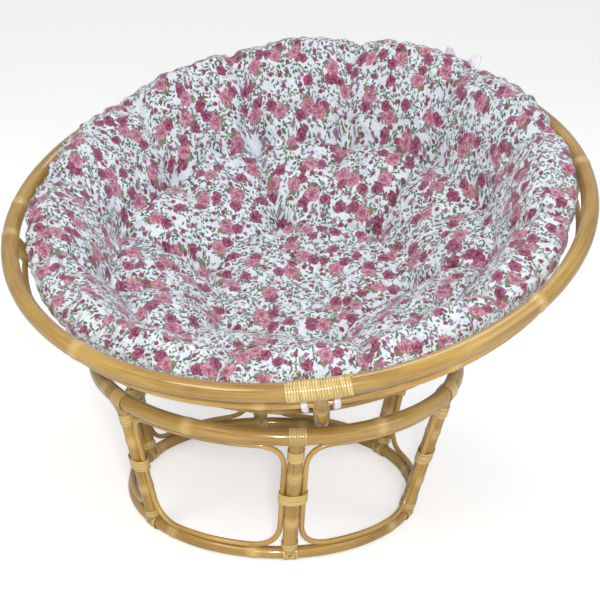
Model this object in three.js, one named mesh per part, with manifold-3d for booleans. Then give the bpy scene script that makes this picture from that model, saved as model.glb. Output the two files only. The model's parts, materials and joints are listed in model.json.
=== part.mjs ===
// Papasan chair: a round rattan bowl frame with a tufted, flower-printed cushion,
// resting on a six-legged rattan base. The bowl's ribs lie on a sphere, so the bowl
// can be tilted in the base's top ring. Lengths are in millimetres, angles in degrees,
// +Z is up and the origin is on the floor, below the middle of the chair's outline.
import * as THREE from "three";
import { mergeVertices } from "three/addons/utils/BufferGeometryUtils.js";
import Module from "manifold-3d";

const wasm = await Module();
wasm.setup();

// Driving dimensions of the bowl frame
const rimOuterDiameter = 1100;
const rimPole = 32;
const sphereRise = 250;
const ribPole = 28;
const upperHoopCane = 11;
const upperHoopDrop = 46;
const upperHoopOffset = 4.4;
const innerHoopCane = 10;
const middleHoopDiameter = 762;
const lowerHoopDiameter = 390;
const dowelDiameter = 8;
const dowelLength = 36;

// Driving dimensions of the base
const topRingDiameter = 672;
const topRingPole = 30;
const bottomRingDiameter = 540;
const bottomRingPole = 23;
const ringSpacing = 261;
const legPole = 27;
const legSaddle = 4;
const liningCane = 10;
const liningCorner = 60;

// Driving dimensions of the cane peel that binds the joints
const peelThickness = 1.6;
const strapLength = 30;
const topWrapLength = 24;
const topWrapDrop = 38;
const midWrapLength = 27;
const midWrapSlack = 2.5;
const footWrapLength = 30;
const footCollar = 15;
const soleThickness = 1;
const lashingWidth = 14;
const rimTurnPitch = 5;
const rimTurnWidth = 4.2;
const rimTurnThickness = 1.4;

// How the chair stands in the photograph
const bowlTilt = 16.2;
const bowlLean = 6.8;
const bowlTurn = 4.3;
const legTurn = 6.5;

// Driving dimensions of the cushion, heights measured from the rim's plane
const edgeInset = 35;
const edgeHeight = 10;
const edgeRoll = 46;
const tuftThickness = 111;
const edgeTuftHeight = 8;
const backReach = 26;
const backLift = 56;
const frontDrop = 18;
const outerTuftShare = 0.684;
const innerTuftShare = 0.384;
const outerPuff = 66;
const middlePuff = 44;
const centrePuff = 34;
const creaseDraw = 16;
const creaseFill = 0.4;
const creasePower = 0.7;
const leanPower = 3;
const crownPower = 4;

// Driving dimensions of the tie tapes
const tapeWidth = 13;
const tapeThickness = 1.2;
const tapeTail = 62;
const tapeShortTail = 34;
const tapeOffset = 27;
const bowAzimuth = 52;
const bowLean = 60;
const bowReach = 21;
const bowDepth = 8;

// Gaps between neighbours
const clearance = 0.3;
const seatClearance = 0.5;
const weldDistance = 0.0001;

// Counts
const legCount = 6;
const ribCount = 4;
const lobeCount = 12;
const lobeColumns = 5;
const rimTurns = 24;
const rimSegments = 60;
const middleHoopSegments = 42;
const lowerHoopSegments = 30;
const baseSegments = 48;
const poleSides = 10;
const seatSides = 12;
const caneSides = 6;
const liningSides = 5;
const liningSteps = 28;
const ribSteps = 30;
const turnSteps = 10;
const wrapSides = 14;

// Worked out from the driving dimensions
const rimRadius = (rimOuterDiameter - rimPole) / 2;
const sphereRadius = Math.hypot(rimRadius, sphereRise);
const rimPolar = Math.atan2(rimRadius, sphereRise);
const upperHoopDepth = sphereRise + upperHoopDrop;
const upperHoopRadius = Math.sqrt(
  (sphereRadius + upperHoopOffset) ** 2 - upperHoopDepth ** 2,
);
const topRingRadius = topRingDiameter / 2;
const bottomRingRadius = bottomRingDiameter / 2;
const chordDip = (radius, segments) => radius * (1 - Math.cos(Math.PI / segments));
const chordSlant = (length, segments) => (length / 2) * Math.tan(Math.PI / segments);
const poleFacet = Math.cos(Math.PI / poleSides);
const wrapFacet = Math.cos(Math.PI / wrapSides);
const footRoom =
  (bottomRingPole / 2 + clearance + chordSlant(footWrapLength, baseSegments)) / wrapFacet;
const bottomRingHeight = footRoom + soleThickness;
const topRingHeight = bottomRingHeight + ringSpacing;
const seatDistance = sphereRadius + ribPole / 2 + seatClearance + topRingPole / 2;
const sphereHeight =
  topRingHeight + Math.sqrt(seatDistance ** 2 - topRingRadius ** 2);
const hoopSphereRadius = sphereRadius - (ribPole + innerHoopCane) / 2 - clearance;
const hoopDip = chordDip(middleHoopDiameter / 2, middleHoopSegments);
const cushionSphereRadius = hoopSphereRadius - innerHoopCane / 2 - hoopDip;
const edgeRadius = rimRadius - edgeInset;
const outerTuftRadius = outerTuftShare * rimRadius;
const innerTuftRadius = innerTuftShare * rimRadius;
const tuftFloor = sphereRise - cushionSphereRadius + tuftThickness;
const tuftRise = edgeTuftHeight - tuftFloor;
const frontAzimuth = -90;

// Finishes
const finishes = {
  pole: { color: 0xc39a50, roughness: 0.34 },
  cane: { color: 0xc9a45c, roughness: 0.38 },
  peel: { color: 0xd8bd72, roughness: 0.3 },
  dowel: { color: 0xb98d55, roughness: 0.7 },
  cotton: { color: 0xdfe6ea, roughness: 0.9 },
  satin: { color: 0xe2e0ef, roughness: 0.45 },
};
const materials = Object.fromEntries(
  Object.entries(finishes).map(([name, finish]) => [
    name,
    new THREE.MeshStandardMaterial({ ...finish, metalness: 0 }),
  ]),
);

const radians = THREE.MathUtils.degToRad;
const point = (x, y, z) => new THREE.Vector3(x, y, z);

// A closed geometry as a solid that can be joined and cut
function solidOf(geometry) {
  const bare = geometry.clone();
  bare.deleteAttribute("normal");
  bare.deleteAttribute("uv");
  const merged = mergeVertices(bare, weldDistance);
  return new wasm.Manifold(
    new wasm.Mesh({
      numProp: 3,
      vertProperties: new Float32Array(merged.attributes.position.array),
      triVerts: new Uint32Array(merged.index.array),
    }),
  );
}

// A solid back as a geometry
function geometryOf(solid) {
  const mesh = solid.getMesh();
  const geometry = new THREE.BufferGeometry();
  const places = new THREE.BufferAttribute(new Float32Array(mesh.vertProperties), 3);
  geometry.setAttribute("position", places);
  geometry.setIndex(new THREE.BufferAttribute(new Uint32Array(mesh.triVerts), 1));
  geometry.computeVertexNormals();
  return geometry;
}

// The first geometry with all the others taken away
function cut(geometry, ...tools) {
  const rest = tools.reduce(
    (solid, tool) => solid.subtract(solidOf(tool)),
    solidOf(geometry),
  );
  return geometryOf(rest);
}

function join(first, second) {
  return geometryOf(solidOf(first).add(solidOf(second)));
}

function piece(name, geometry, material) {
  const mesh = new THREE.Mesh(geometry, material);
  mesh.name = name;
  return mesh;
}

// A many-sided round section
function roundSection(radius, sides) {
  const corners = Array.from({ length: sides }, (_, k) => {
    const angle = (2 * Math.PI * k) / sides;
    return new THREE.Vector2(radius * Math.cos(angle), radius * Math.sin(angle));
  });
  return new THREE.Shape(corners);
}

// A band's section: the space between two ellipses of the same centre
function bandSection(innerX, innerY, thickness, sides) {
  const ellipse = (extra) =>
    Array.from({ length: sides }, (_, k) => {
      const angle = (2 * Math.PI * k) / sides;
      const x = (innerX + extra) * Math.cos(angle);
      return new THREE.Vector2(x, (innerY + extra) * Math.sin(angle));
    });
  const section = new THREE.Shape(ellipse(thickness));
  section.holes.push(new THREE.Path(ellipse(0)));
  return section;
}

// A section drawn out by a length, centred on its plane
function prism(section, length) {
  const drawn = { depth: length, bevelEnabled: false };
  return new THREE.ExtrudeGeometry(section, drawn).translate(0, 0, -length / 2);
}

// A pole or cane bent through points
function bentPole(points, diameter, sides, steps) {
  const path = new THREE.CatmullRomCurve3(points);
  const drawn = { steps, extrudePath: path, bevelEnabled: false };
  return new THREE.ExtrudeGeometry(roundSection(diameter / 2, sides), drawn);
}

// A level hoop about the Z axis
function hoop(radius, diameter, height, sides, segments) {
  const ring = new THREE.TorusGeometry(radius, diameter / 2, sides, segments);
  return ring.translate(0, 0, height);
}

function cylinder(diameter, length, sides) {
  return prism(roundSection(diameter / 2, sides), length);
}

// A geometry made along Z, moved to a place with its Z along one direction and its X
// along another
function placed(geometry, place, along, across) {
  const side = across.clone().normalize();
  const up = along.clone().normalize();
  const front = up.clone().cross(side);
  const turn = new THREE.Matrix4().makeBasis(side, front, up).setPosition(place);
  return geometry.clone().applyMatrix4(turn);
}

// The base: everything at one leg is made at azimuth 0 and turned to its station
const legHead = point(topRingRadius, 0, topRingHeight);
const legFoot = point(bottomRingRadius, 0, bottomRingHeight);
const legAxis = legHead.clone().sub(legFoot).normalize();
const legAcross = point(0, 1, 0);
const onLeg = (fromHead) => legHead.clone().addScaledVector(legAxis, -fromHead);
const topRingTool = (extra) => {
  const pole = topRingPole + 2 * extra;
  return hoop(topRingRadius, pole, topRingHeight, seatSides, baseSegments);
};
const bottomRingTool = (extra) => {
  const pole = bottomRingPole + 2 * extra;
  return hoop(bottomRingRadius, pole, bottomRingHeight, poleSides, baseSegments);
};

function legBar(extra) {
  const length = legHead.distanceTo(legFoot) - legSaddle;
  const bar = cylinder(legPole + 2 * extra, length, poleSides);
  return placed(bar, onLeg(length / 2), legAxis, legAcross);
}

function legGeometry() {
  return cut(legBar(0), topRingTool(clearance), bottomRingTool(clearance));
}

// One rounded lining cane per panel, under the top ring, beside both legs and along
// the bottom ring, on the cone that the legs stand on
function liningGeometry() {
  const slant = legHead.distanceTo(legFoot);
  const top = slant - (topRingPole + liningCane) / 2 - clearance;
  const bottom = (bottomRingPole + liningCane) / 2 + clearance;
  const beside = (legPole + liningCane) / 2 + clearance;
  const halfPanel = Math.PI / legCount;
  const radiusAt = (v) => THREE.MathUtils.lerp(bottomRingRadius, topRingRadius, v / slant);
  const sideAt = (v) => radiusAt(v) * halfPanel - beside;
  const corner = liningCorner;
  const outline = new THREE.Path();
  outline.moveTo(0, bottom);
  outline.lineTo(sideAt(bottom) - corner, bottom);
  outline.quadraticCurveTo(sideAt(bottom), bottom, sideAt(bottom + corner), bottom + corner);
  outline.lineTo(sideAt(top - corner), top - corner);
  outline.quadraticCurveTo(sideAt(top), top, sideAt(top) - corner, top);
  outline.lineTo(corner - sideAt(top), top);
  outline.quadraticCurveTo(-sideAt(top), top, -sideAt(top - corner), top - corner);
  outline.lineTo(-sideAt(bottom + corner), bottom + corner);
  outline.quadraticCurveTo(-sideAt(bottom), bottom, corner - sideAt(bottom), bottom);
  outline.lineTo(0, bottom);
  const flat = outline.getSpacedPoints(liningSteps).slice(0, liningSteps);
  const route = flat.map(({ x, y }) => {
    const radius = radiusAt(y);
    const azimuth = halfPanel + x / radius;
    const height = bottomRingHeight + y * legAxis.z;
    return point(radius * Math.cos(azimuth), radius * Math.sin(azimuth), height);
  });
  const path = new THREE.CatmullRomCurve3(route, true);
  return new THREE.TubeGeometry(path, liningSteps, liningCane / 2, liningSides, true);
}

// The strap lies over the top ring at a leg, and leaves the side free on which the
// bowl's ribs run
function strapGeometry() {
  const slack = chordSlant(strapLength, baseSegments);
  const inner = (topRingPole / 2 + clearance) / wrapFacet + slack;
  const outer = inner + peelThickness;
  const ribSide = Math.atan2(sphereHeight - topRingHeight, -topRingRadius);
  const free = Math.acos(seatDistanceShare(outer));
  const start = ribSide + free;
  const sweep = 2 * Math.PI - 2 * free;
  const arc = (radius) =>
    Array.from({ length: wrapSides + 1 }, (_, k) => {
      const angle = start + (sweep * k) / wrapSides;
      return new THREE.Vector2(radius * Math.cos(angle), radius * Math.sin(angle));
    });
  const section = new THREE.Shape([...arc(outer), ...arc(inner).reverse()]);
  const strap = prism(section, strapLength);
  const turned = placed(strap, legHead, point(0, -1, 0), point(1, 0, 0));
  return cut(turned, legBar(clearance));
}

// How far round the ring the ribs come nearer than a strap's outer face
function seatDistanceShare(outer) {
  const ribFace = topRingPole / 2 + seatClearance;
  return ribFace / (outer + 2 * clearance);
}

function topWrapGeometry() {
  const inner = legPole / 2 + clearance;
  const band = prism(bandSection(inner, inner, peelThickness, poleSides), topWrapLength);
  return placed(band, onLeg(topWrapDrop), legAxis, legAcross);
}

// The middle wrap holds the leg and the two lining canes beside it
function midWrapGeometry() {
  const reach = legPole / 2 + liningCane + 2 * clearance + midWrapSlack;
  const depth = ((legPole / 2) * poleFacet + clearance) / wrapFacet;
  const band = prism(bandSection(reach, depth, peelThickness, wrapSides), midWrapLength);
  const middle = legHead.clone().add(legFoot).divideScalar(2);
  return placed(band, middle, legAxis, legAcross);
}

// The foot wrap holds the leg's end on the bottom ring, and is worn flat on the floor
function footWrapGeometry() {
  const collarRadius = legPole / 2 + 2 * clearance;
  const collarLength = bottomRingPole / 2 + footCollar;
  const alongRing = (geometry) =>
    placed(geometry, legFoot, point(0, 1, 0), point(1, 0, 0));
  const alongLeg = (geometry, distance) => {
    const place = legFoot.clone().addScaledVector(legAxis, distance);
    return placed(geometry, place, legAxis, legAcross);
  };
  const round = cylinder(2 * (footRoom + peelThickness), footWrapLength, wrapSides);
  const collar = cylinder(2 * (collarRadius + peelThickness), collarLength, poleSides);
  const ringHole = cylinder(2 * footRoom, 2 * footWrapLength, wrapSides);
  const legHole = cylinder(2 * collarRadius, 2 * collarLength, poleSides);
  const floorBlock = new THREE.BoxGeometry(2 * legPole, 2 * legPole, legPole);
  floorBlock.translate(bottomRingRadius, 0, -legPole / 2);
  return cut(
    join(alongRing(round), alongLeg(collar, collarLength / 2)),
    alongRing(ringHole),
    alongLeg(legHole, collarLength),
    floorBlock,
  );
}

function makeBase() {
  const base = new THREE.Group();
  const turn = radians(frontAzimuth + legTurn);
  const topRing = piece("top_ring", topRingTool(0), materials.pole);
  const bottomRing = piece("bottom_ring", bottomRingTool(0), materials.pole);
  topRing.rotation.z = turn;
  bottomRing.rotation.z = turn;
  base.add(topRing, bottomRing);
  const leg = legGeometry();
  const lining = liningGeometry();
  const strap = strapGeometry();
  const topWrap = topWrapGeometry();
  const midWrap = midWrapGeometry();
  const footWrap = footWrapGeometry();
  for (let i = 0; i < legCount; i += 1) {
    const station = new THREE.Group();
    station.rotation.z = turn + (2 * Math.PI * i) / legCount;
    station.add(
      piece(`leg_${i + 1}`, leg, materials.pole),
      piece(`lining_cane_${i + 1}`, lining, materials.cane),
      piece(`top_strap_${i + 1}`, strap, materials.peel),
      piece(`top_wrap_${i + 1}`, topWrap, materials.peel),
      piece(`mid_wrap_${i + 1}`, midWrap, materials.peel),
      piece(`foot_wrap_${i + 1}`, footWrap, materials.peel),
    );
    base.add(station);
  }
  return base;
}

// The bowl: made about the centre of the sphere that its ribs lie on, with the rim's
// plane level and below that centre
const rimHeight = -sphereRise;
const ribAzimuth = (k) => radians(frontAzimuth + bowlTurn + (360 * k) / ribCount);
const outward = (azimuth) => point(Math.cos(azimuth), Math.sin(azimuth), 0);
const onSphere = (radius, polar, azimuth) =>
  outward(azimuth)
    .multiplyScalar(radius * Math.sin(polar))
    .setZ(-radius * Math.cos(polar));
const rimTool = (extra) =>
  hoop(rimRadius, rimPole + 2 * extra, rimHeight, poleSides, rimSegments);
const upperHoopTool = (extra) => {
  const cane = upperHoopCane + 2 * extra;
  const height = rimHeight - upperHoopDrop;
  return hoop(upperHoopRadius, cane, height, caneSides, rimSegments);
};

const turnFacet = Math.cos(Math.PI / turnSteps);
const bindingRadius =
  (rimPole / 2 + clearance) / turnFacet + chordDip(rimRadius, rimSegments);

// The rib ends that a dowel holds: all but the front one, which is under the binding
const pegged = Array.from({ length: ribCount - 1 }, (_, k) => k + 1);

// Where a rib meets the rim, and the direction from there down the rib
function ribEnd(k) {
  const azimuth = ribAzimuth(k);
  const place = onSphere(sphereRadius, rimPolar, azimuth);
  const inward = outward(azimuth).multiplyScalar(-Math.cos(rimPolar));
  const down = inward.setZ(-Math.sin(rimPolar));
  return { place, down, across: outward(azimuth + Math.PI / 2) };
}

function dowelBar(k, extra) {
  const { place, down, across } = ribEnd(k);
  const joint = place.clone().addScaledVector(down, rimPole / 2);
  const bar = cylinder(dowelDiameter + 2 * extra, dowelLength + 2 * extra, poleSides);
  return placed(bar, joint, down, across);
}

// The room that the bound part of the rim takes from the front rib's end
function boundRimTool() {
  const { place, down, across } = ribEnd(0);
  const bound = bindingRadius + rimTurnThickness + 2 * clearance;
  const bar = cylinder((2 * bound) / wrapFacet, 2 * ribPole, wrapSides);
  return placed(bar, place, across, down);
}

// A rib pole runs from the rim through the bottom of the bowl to the rim. Where the
// two poles cross, each loses half: the first its upper half, the second its lower.
function ribGeometry(k, keepsLower) {
  const halfway = ribSteps / 2;
  const points = Array.from({ length: ribSteps + 1 }, (_, step) => {
    const polar = (rimPolar * (step - halfway)) / halfway;
    return onSphere(sphereRadius, polar, ribAzimuth(k));
  });
  const pole = bentPole(points, ribPole, seatSides, ribSteps);
  const lap = ribPole + 2 * clearance;
  const notch = new THREE.BoxGeometry(lap, lap, lap);
  const shift = (lap - clearance) / 2;
  notch.rotateZ(ribAzimuth(k));
  notch.translate(0, 0, -sphereRadius + (keepsLower ? shift : -shift));
  const pegs = pegged.filter((end) => end % 2 === k % 2);
  return cut(
    pole,
    rimTool(clearance),
    boundRimTool(),
    upperHoopTool(clearance),
    ...pegs.map((end) => dowelBar(end, clearance)),
    notch,
  );
}

// A hoop that lies inside the ribs and carries the cushion
function innerHoopGeometry(diameter, segments) {
  const radius = diameter / 2;
  const height = -Math.sqrt(hoopSphereRadius ** 2 - radius ** 2);
  return hoop(radius, innerHoopCane, height, caneSides, segments);
}

// A lashing passes diagonally over and under the lap joint of the ribs
function lashingGeometry(layer) {
  const lift = layer * (peelThickness + clearance);
  const reach = ribPole + lashingWidth / 2 + lift;
  const depth = ribPole / 2 + peelThickness + 2 * clearance + lift;
  const band = prism(bandSection(reach, depth, peelThickness, wrapSides), lashingWidth);
  const diagonal = ribAzimuth(0) + Math.PI / 4 + (layer * Math.PI) / 2;
  const bottom = point(0, 0, -sphereRadius);
  return placed(band, bottom, outward(diagonal + Math.PI / 2), outward(diagonal));
}

// The cane peel wound round the rim over its joint: one unbroken strip whose turns
// climb along the rim. Returns the strip's corner points, four for each step.
function rimTurnRings() {
  const steps = rimTurns * turnSteps;
  const pitchAngle = rimTurnPitch / rimRadius;
  return Array.from({ length: steps + 1 }, (_, step) => {
    const turned = step / turnSteps;
    const around = 2 * Math.PI * turned;
    const azimuth = ribAzimuth(0) + (turned - rimTurns / 2) * pitchAngle;
    const along = outward(azimuth + Math.PI / 2);
    const radial = outward(azimuth)
      .multiplyScalar(Math.cos(around))
      .setZ(Math.sin(around));
    const core = outward(azimuth).multiplyScalar(rimRadius).setZ(rimHeight);
    const corner = (side, lift) =>
      core
        .clone()
        .addScaledVector(radial, bindingRadius + lift)
        .addScaledVector(along, (side * rimTurnWidth) / 2);
    return [
      corner(1, 0),
      corner(-1, 0),
      corner(-1, rimTurnThickness),
      corner(1, rimTurnThickness),
    ];
  });
}

// Closes a row of rings of points into one skin with flat ends
function skinOf(rings) {
  const sides = rings[0].length;
  const places = rings.flat().flatMap((p) => [p.x, p.y, p.z]);
  const faces = [];
  for (let ring = 0; ring + 1 < rings.length; ring += 1) {
    for (let side = 0; side < sides; side += 1) {
      const a = ring * sides + side;
      const b = ring * sides + ((side + 1) % sides);
      faces.push(a, b, b + sides, a, b + sides, a + sides);
    }
  }
  const last = (rings.length - 1) * sides;
  for (let side = 1; side + 1 < sides; side += 1) {
    faces.push(0, side + 1, side, last, last + side, last + side + 1);
  }
  const geometry = new THREE.BufferGeometry();
  geometry.setAttribute("position", new THREE.Float32BufferAttribute(places, 3));
  geometry.setIndex(faces);
  geometry.computeVertexNormals();
  return geometry;
}

// The least distance between one turn's edge and the next turn's facing edge
function leastTurnGap(rings) {
  let least = Infinity;
  for (let step = 0; step + turnSteps < rings.length; step += 1) {
    const next = rings[step + turnSteps];
    least = Math.min(least, rings[step][0].distanceTo(next[1]));
    least = Math.min(least, rings[step][3].distanceTo(next[2]));
  }
  return least;
}

// Shares of a cushion band's width, from one row of tufts to the next
const bandShares = [0.25, 0.5, 0.75, 1];

// The underside's rows of points: two of them lie on the hoops that carry the cushion
const hoopContact = (diameter) =>
  ((diameter / 2) * cushionSphereRadius) / hoopSphereRadius;
const undersideRadii = [
  hoopContact(lowerHoopDiameter),
  hoopContact((lowerHoopDiameter + middleHoopDiameter) / 2),
  hoopContact(middleHoopDiameter),
  edgeRadius - edgeRoll,
];

// How full the cushion is at an azimuth, of so many lobes: 0 in a crease, 1 between
function lobeFullness(azimuth, lobes, firstCrease) {
  return Math.abs(Math.sin(((azimuth - firstCrease) * lobes) / 2)) ** creasePower;
}

const outerFullness = (azimuth) => lobeFullness(azimuth, lobeCount, Math.PI / lobeCount);
const innerFullness = (azimuth) =>
  lobeFullness(azimuth, lobeCount / 2, (3 * Math.PI) / lobeCount);

// 1 at the back of the bowl, falling to 0 at the front, and the other way round
const backness = (azimuth) => ((1 + Math.sin(azimuth)) / 2) ** leanPower;
const frontness = (azimuth) => ((1 - Math.sin(azimuth)) / 2) ** leanPower;

// The cushion's upper surface over the rim's plane, inside its crown
function seatHeight(radius, azimuth, crown) {
  const lift = crown.lift * (radius / crown.radius) ** crownPower;
  const base = tuftFloor + tuftRise * (radius / edgeRadius) ** 2 + lift;
  const bump = (low, high) => Math.sin((Math.PI * (radius - low)) / (high - low));
  if (radius < innerTuftRadius) {
    return base + centrePuff * bump(-innerTuftRadius, innerTuftRadius);
  }
  const outer = outerFullness(azimuth);
  if (radius < outerTuftRadius) {
    const across = THREE.MathUtils.smoothstep(radius, innerTuftRadius, outerTuftRadius);
    const full = THREE.MathUtils.lerp(innerFullness(azimuth), outer, across);
    return base + middlePuff * full * bump(innerTuftRadius, outerTuftRadius);
  }
  const full = THREE.MathUtils.lerp(creaseFill, 1, outer);
  return base + outerPuff * full * bump(outerTuftRadius, 2 * crown.radius - outerTuftRadius);
}

// One line of the cushion's skin, from the middle of the underside round the edge to
// the middle of the seat, as radius and height over the rim's plane
function cushionLine(azimuth) {
  const draw = creaseDraw * (1 - outerFullness(azimuth));
  const back = backness(azimuth);
  const lift = backLift * back - frontDrop * frontness(azimuth);
  const reach = edgeRadius + backReach * back - draw;
  const crown = { radius: reach - edgeRoll, lift };
  const height = edgeHeight + lift;
  const top = seatHeight(crown.radius, azimuth, crown);
  const underside = undersideRadii.map((radius) => {
    const depth = Math.sqrt(cushionSphereRadius ** 2 - radius ** 2);
    return [radius, sphereRise - depth];
  });
  const roll = Math.SQRT1_2 * edgeRoll;
  const side = [
    [reach - edgeRoll + roll, height - roll],
    [reach, height],
    [reach - edgeRoll + roll, THREE.MathUtils.lerp(height, top, Math.SQRT1_2)],
    [crown.radius, top],
  ];
  const band = (low, high) =>
    bandShares.map((share) => THREE.MathUtils.lerp(high, low, share));
  const radii = [
    ...band(outerTuftRadius, crown.radius),
    ...band(innerTuftRadius, outerTuftRadius),
    ...band(0, innerTuftRadius).slice(0, -1),
  ];
  const seat = radii.map((radius) => [radius, seatHeight(radius, azimuth, crown)]);
  return [...underside, ...side, ...seat];
}

function cushionGeometry() {
  const columns = lobeCount * lobeColumns;
  const lines = Array.from({ length: columns }, (_, column) => {
    const azimuth = (2 * Math.PI * column) / columns + Math.PI / lobeCount;
    return cushionLine(azimuth).map(([radius, height]) =>
      outward(azimuth).multiplyScalar(radius).setZ(height - sphereRise),
    );
  });
  const rows = lines[0].length;
  const places = lines.flat().flatMap((p) => [p.x, p.y, p.z]);
  const bottom = columns * rows;
  const top = bottom + 1;
  places.push(0, 0, -cushionSphereRadius);
  places.push(0, 0, tuftFloor + centrePuff - sphereRise);
  const faces = [];
  for (let column = 0; column < columns; column += 1) {
    const here = column * rows;
    const next = ((column + 1) % columns) * rows;
    for (let row = 0; row + 1 < rows; row += 1) {
      faces.push(here + row, next + row, next + row + 1);
      faces.push(here + row, next + row + 1, here + row + 1);
    }
    faces.push(bottom, next, here);
    faces.push(top, here + rows - 1, next + rows - 1);
  }
  const geometry = new THREE.BufferGeometry();
  geometry.setAttribute("position", new THREE.Float32BufferAttribute(places, 3));
  geometry.setIndex(faces);
  geometry.computeVertexNormals();
  return geometry;
}

// A tie tape folded over the upper hoop beside the front rib, with its tails hanging
// inside the ribs
function hoopTieGeometry(side) {
  const radius = upperHoopRadius;
  const slack = chordDip(radius, rimSegments) + chordSlant(tapeWidth, rimSegments);
  const inner = upperHoopCane / 2 + clearance + slack;
  const outer = inner + tapeThickness;
  const section = new THREE.Shape();
  section.moveTo(outer, -tapeShortTail);
  section.lineTo(outer, 0);
  section.absarc(0, 0, outer, 0, Math.PI, false);
  section.lineTo(-outer, -tapeTail);
  section.lineTo(-inner, -tapeTail);
  section.lineTo(-inner, 0);
  section.absarc(0, 0, inner, Math.PI, 0, true);
  section.lineTo(inner, -tapeShortTail);
  const drawn = { depth: tapeWidth, bevelEnabled: false, curveSegments: caneSides };
  const tape = new THREE.ExtrudeGeometry(section, drawn).translate(0, 0, -tapeWidth / 2);
  const azimuth = ribAzimuth(0) + (side * tapeOffset) / radius;
  const place = outward(azimuth).multiplyScalar(radius).setZ(rimHeight - upperHoopDrop);
  const hang = Math.atan2(radius, upperHoopDepth);
  const across = outward(azimuth).multiplyScalar(Math.sin(hang)).setZ(-Math.cos(hang));
  return placed(tape, place, outward(azimuth - Math.PI / 2), across);
}

// The place on the rim where a tie tape is tied round it, and the bow's direction
const bowOut = outward(radians(bowAzimuth));
const bowAlong = outward(radians(bowAzimuth) + Math.PI / 2);
const bowPlace = bowOut.clone().multiplyScalar(rimRadius).setZ(rimHeight);
const bowUp = bowOut
  .clone()
  .multiplyScalar(Math.cos(radians(bowLean)))
  .setZ(Math.sin(radians(bowLean)));
const bowSlack =
  chordDip(rimRadius, rimSegments) + chordSlant(tapeWidth, rimSegments);
const bowInner = (rimPole / 2 + clearance) / wrapFacet + bowSlack;

function bowBandGeometry() {
  const section = bandSection(bowInner, bowInner, tapeThickness, wrapSides);
  return placed(prism(section, tapeWidth), bowPlace, bowAlong, bowUp);
}

function bowLoopGeometry(side) {
  const section = bandSection(bowReach, bowDepth, tapeThickness, wrapSides);
  const shift = bowReach + tapeThickness + clearance;
  const bandShare = (shift - tapeWidth / 2) / (bowReach + tapeThickness);
  const dip = (bowDepth + tapeThickness) * Math.sqrt(1 - bandShare ** 2);
  const height = bowInner + tapeThickness + clearance + dip;
  const place = bowPlace
    .clone()
    .addScaledVector(bowUp, height)
    .addScaledVector(bowAlong, side * shift);
  return placed(prism(section, tapeWidth), place, bowAlong.clone().cross(bowUp), bowAlong);
}

function makeBowl() {
  const bowl = new THREE.Group();
  const dowels = pegged.map((end) => dowelBar(end, 0));
  const dowelHoles = pegged.map((end) => dowelBar(end, clearance));
  const turns = rimTurnRings();
  console.log(`least gap between rim turns ${leastTurnGap(turns).toFixed(2)} mm`);
  bowl.add(
    piece("rim", cut(rimTool(0), ...dowelHoles), materials.pole),
    piece("rim_binding", skinOf(turns), materials.peel),
    piece("upper_hoop", upperHoopTool(0), materials.cane),
    piece("middle_hoop", innerHoopGeometry(middleHoopDiameter, middleHoopSegments), materials.cane),
    piece("lower_hoop", innerHoopGeometry(lowerHoopDiameter, lowerHoopSegments), materials.cane),
    piece("rib_front_back", ribGeometry(0, true), materials.pole),
    piece("rib_left_right", ribGeometry(1, false), materials.pole),
    piece("centre_lashing_1", lashingGeometry(0), materials.peel),
    piece("centre_lashing_2", lashingGeometry(1), materials.peel),
    piece("cushion", cushionGeometry(), materials.cotton),
    piece("front_tie_left", hoopTieGeometry(-1), materials.satin),
    piece("front_tie_right", hoopTieGeometry(1), materials.satin),
    piece("back_tie_band", bowBandGeometry(), materials.satin),
    piece("back_bow_left", bowLoopGeometry(1), materials.satin),
    piece("back_bow_right", bowLoopGeometry(-1), materials.satin),
    ...dowels.map((bar, k) => piece(`rib_dowel_${k + 1}`, bar, materials.dowel)),
  );
  bowl.position.set(0, 0, sphereHeight);
  bowl.rotation.set(radians(bowlTilt), -radians(bowlLean), 0);
  return bowl;
}

const chair = new THREE.Group();
chair.add(makeBase(), makeBowl());

// The origin goes to the floor below the middle of the chair's outline
chair.updateMatrixWorld(true);
const box = new THREE.Box3().setFromObject(chair, true);
const middle = box.getCenter(new THREE.Vector3());
chair.position.set(-middle.x, -middle.y, -box.min.z);

export default chair;
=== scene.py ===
"""Papasan chair: a rattan bowl frame with a tufted, flower-printed cushion on a
six-legged rattan base. Lengths are in metres and angles in degrees unless a name
says otherwise."""

import json
import logging
import math
from collections.abc import Callable, Iterator, Sequence
from contextlib import contextmanager
from dataclasses import dataclass
from enum import Enum

import bpy
import numpy as np
from mathutils import Matrix, Vector


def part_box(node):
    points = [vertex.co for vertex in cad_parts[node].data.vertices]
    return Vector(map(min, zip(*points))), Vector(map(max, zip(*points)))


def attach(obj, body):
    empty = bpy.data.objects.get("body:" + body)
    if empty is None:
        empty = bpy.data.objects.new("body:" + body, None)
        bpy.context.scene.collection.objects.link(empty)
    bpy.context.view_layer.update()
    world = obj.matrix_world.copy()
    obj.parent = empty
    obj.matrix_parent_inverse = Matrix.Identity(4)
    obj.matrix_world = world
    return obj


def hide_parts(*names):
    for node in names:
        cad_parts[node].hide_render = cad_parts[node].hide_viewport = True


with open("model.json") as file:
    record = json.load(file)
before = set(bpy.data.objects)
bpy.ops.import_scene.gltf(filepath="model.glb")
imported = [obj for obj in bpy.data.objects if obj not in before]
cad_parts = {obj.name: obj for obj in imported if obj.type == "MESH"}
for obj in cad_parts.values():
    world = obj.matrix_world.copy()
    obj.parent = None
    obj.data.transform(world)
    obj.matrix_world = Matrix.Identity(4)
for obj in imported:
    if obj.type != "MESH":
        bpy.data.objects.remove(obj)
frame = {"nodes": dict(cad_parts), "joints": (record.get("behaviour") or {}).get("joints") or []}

log = logging.getLogger("papasan")
Piece = bpy.types.Object
Material = bpy.types.Material
Socket = bpy.types.NodeSocket
Points = np.ndarray
Spot = tuple[float, float]
Sizes = tuple[float, float, float]
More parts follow.
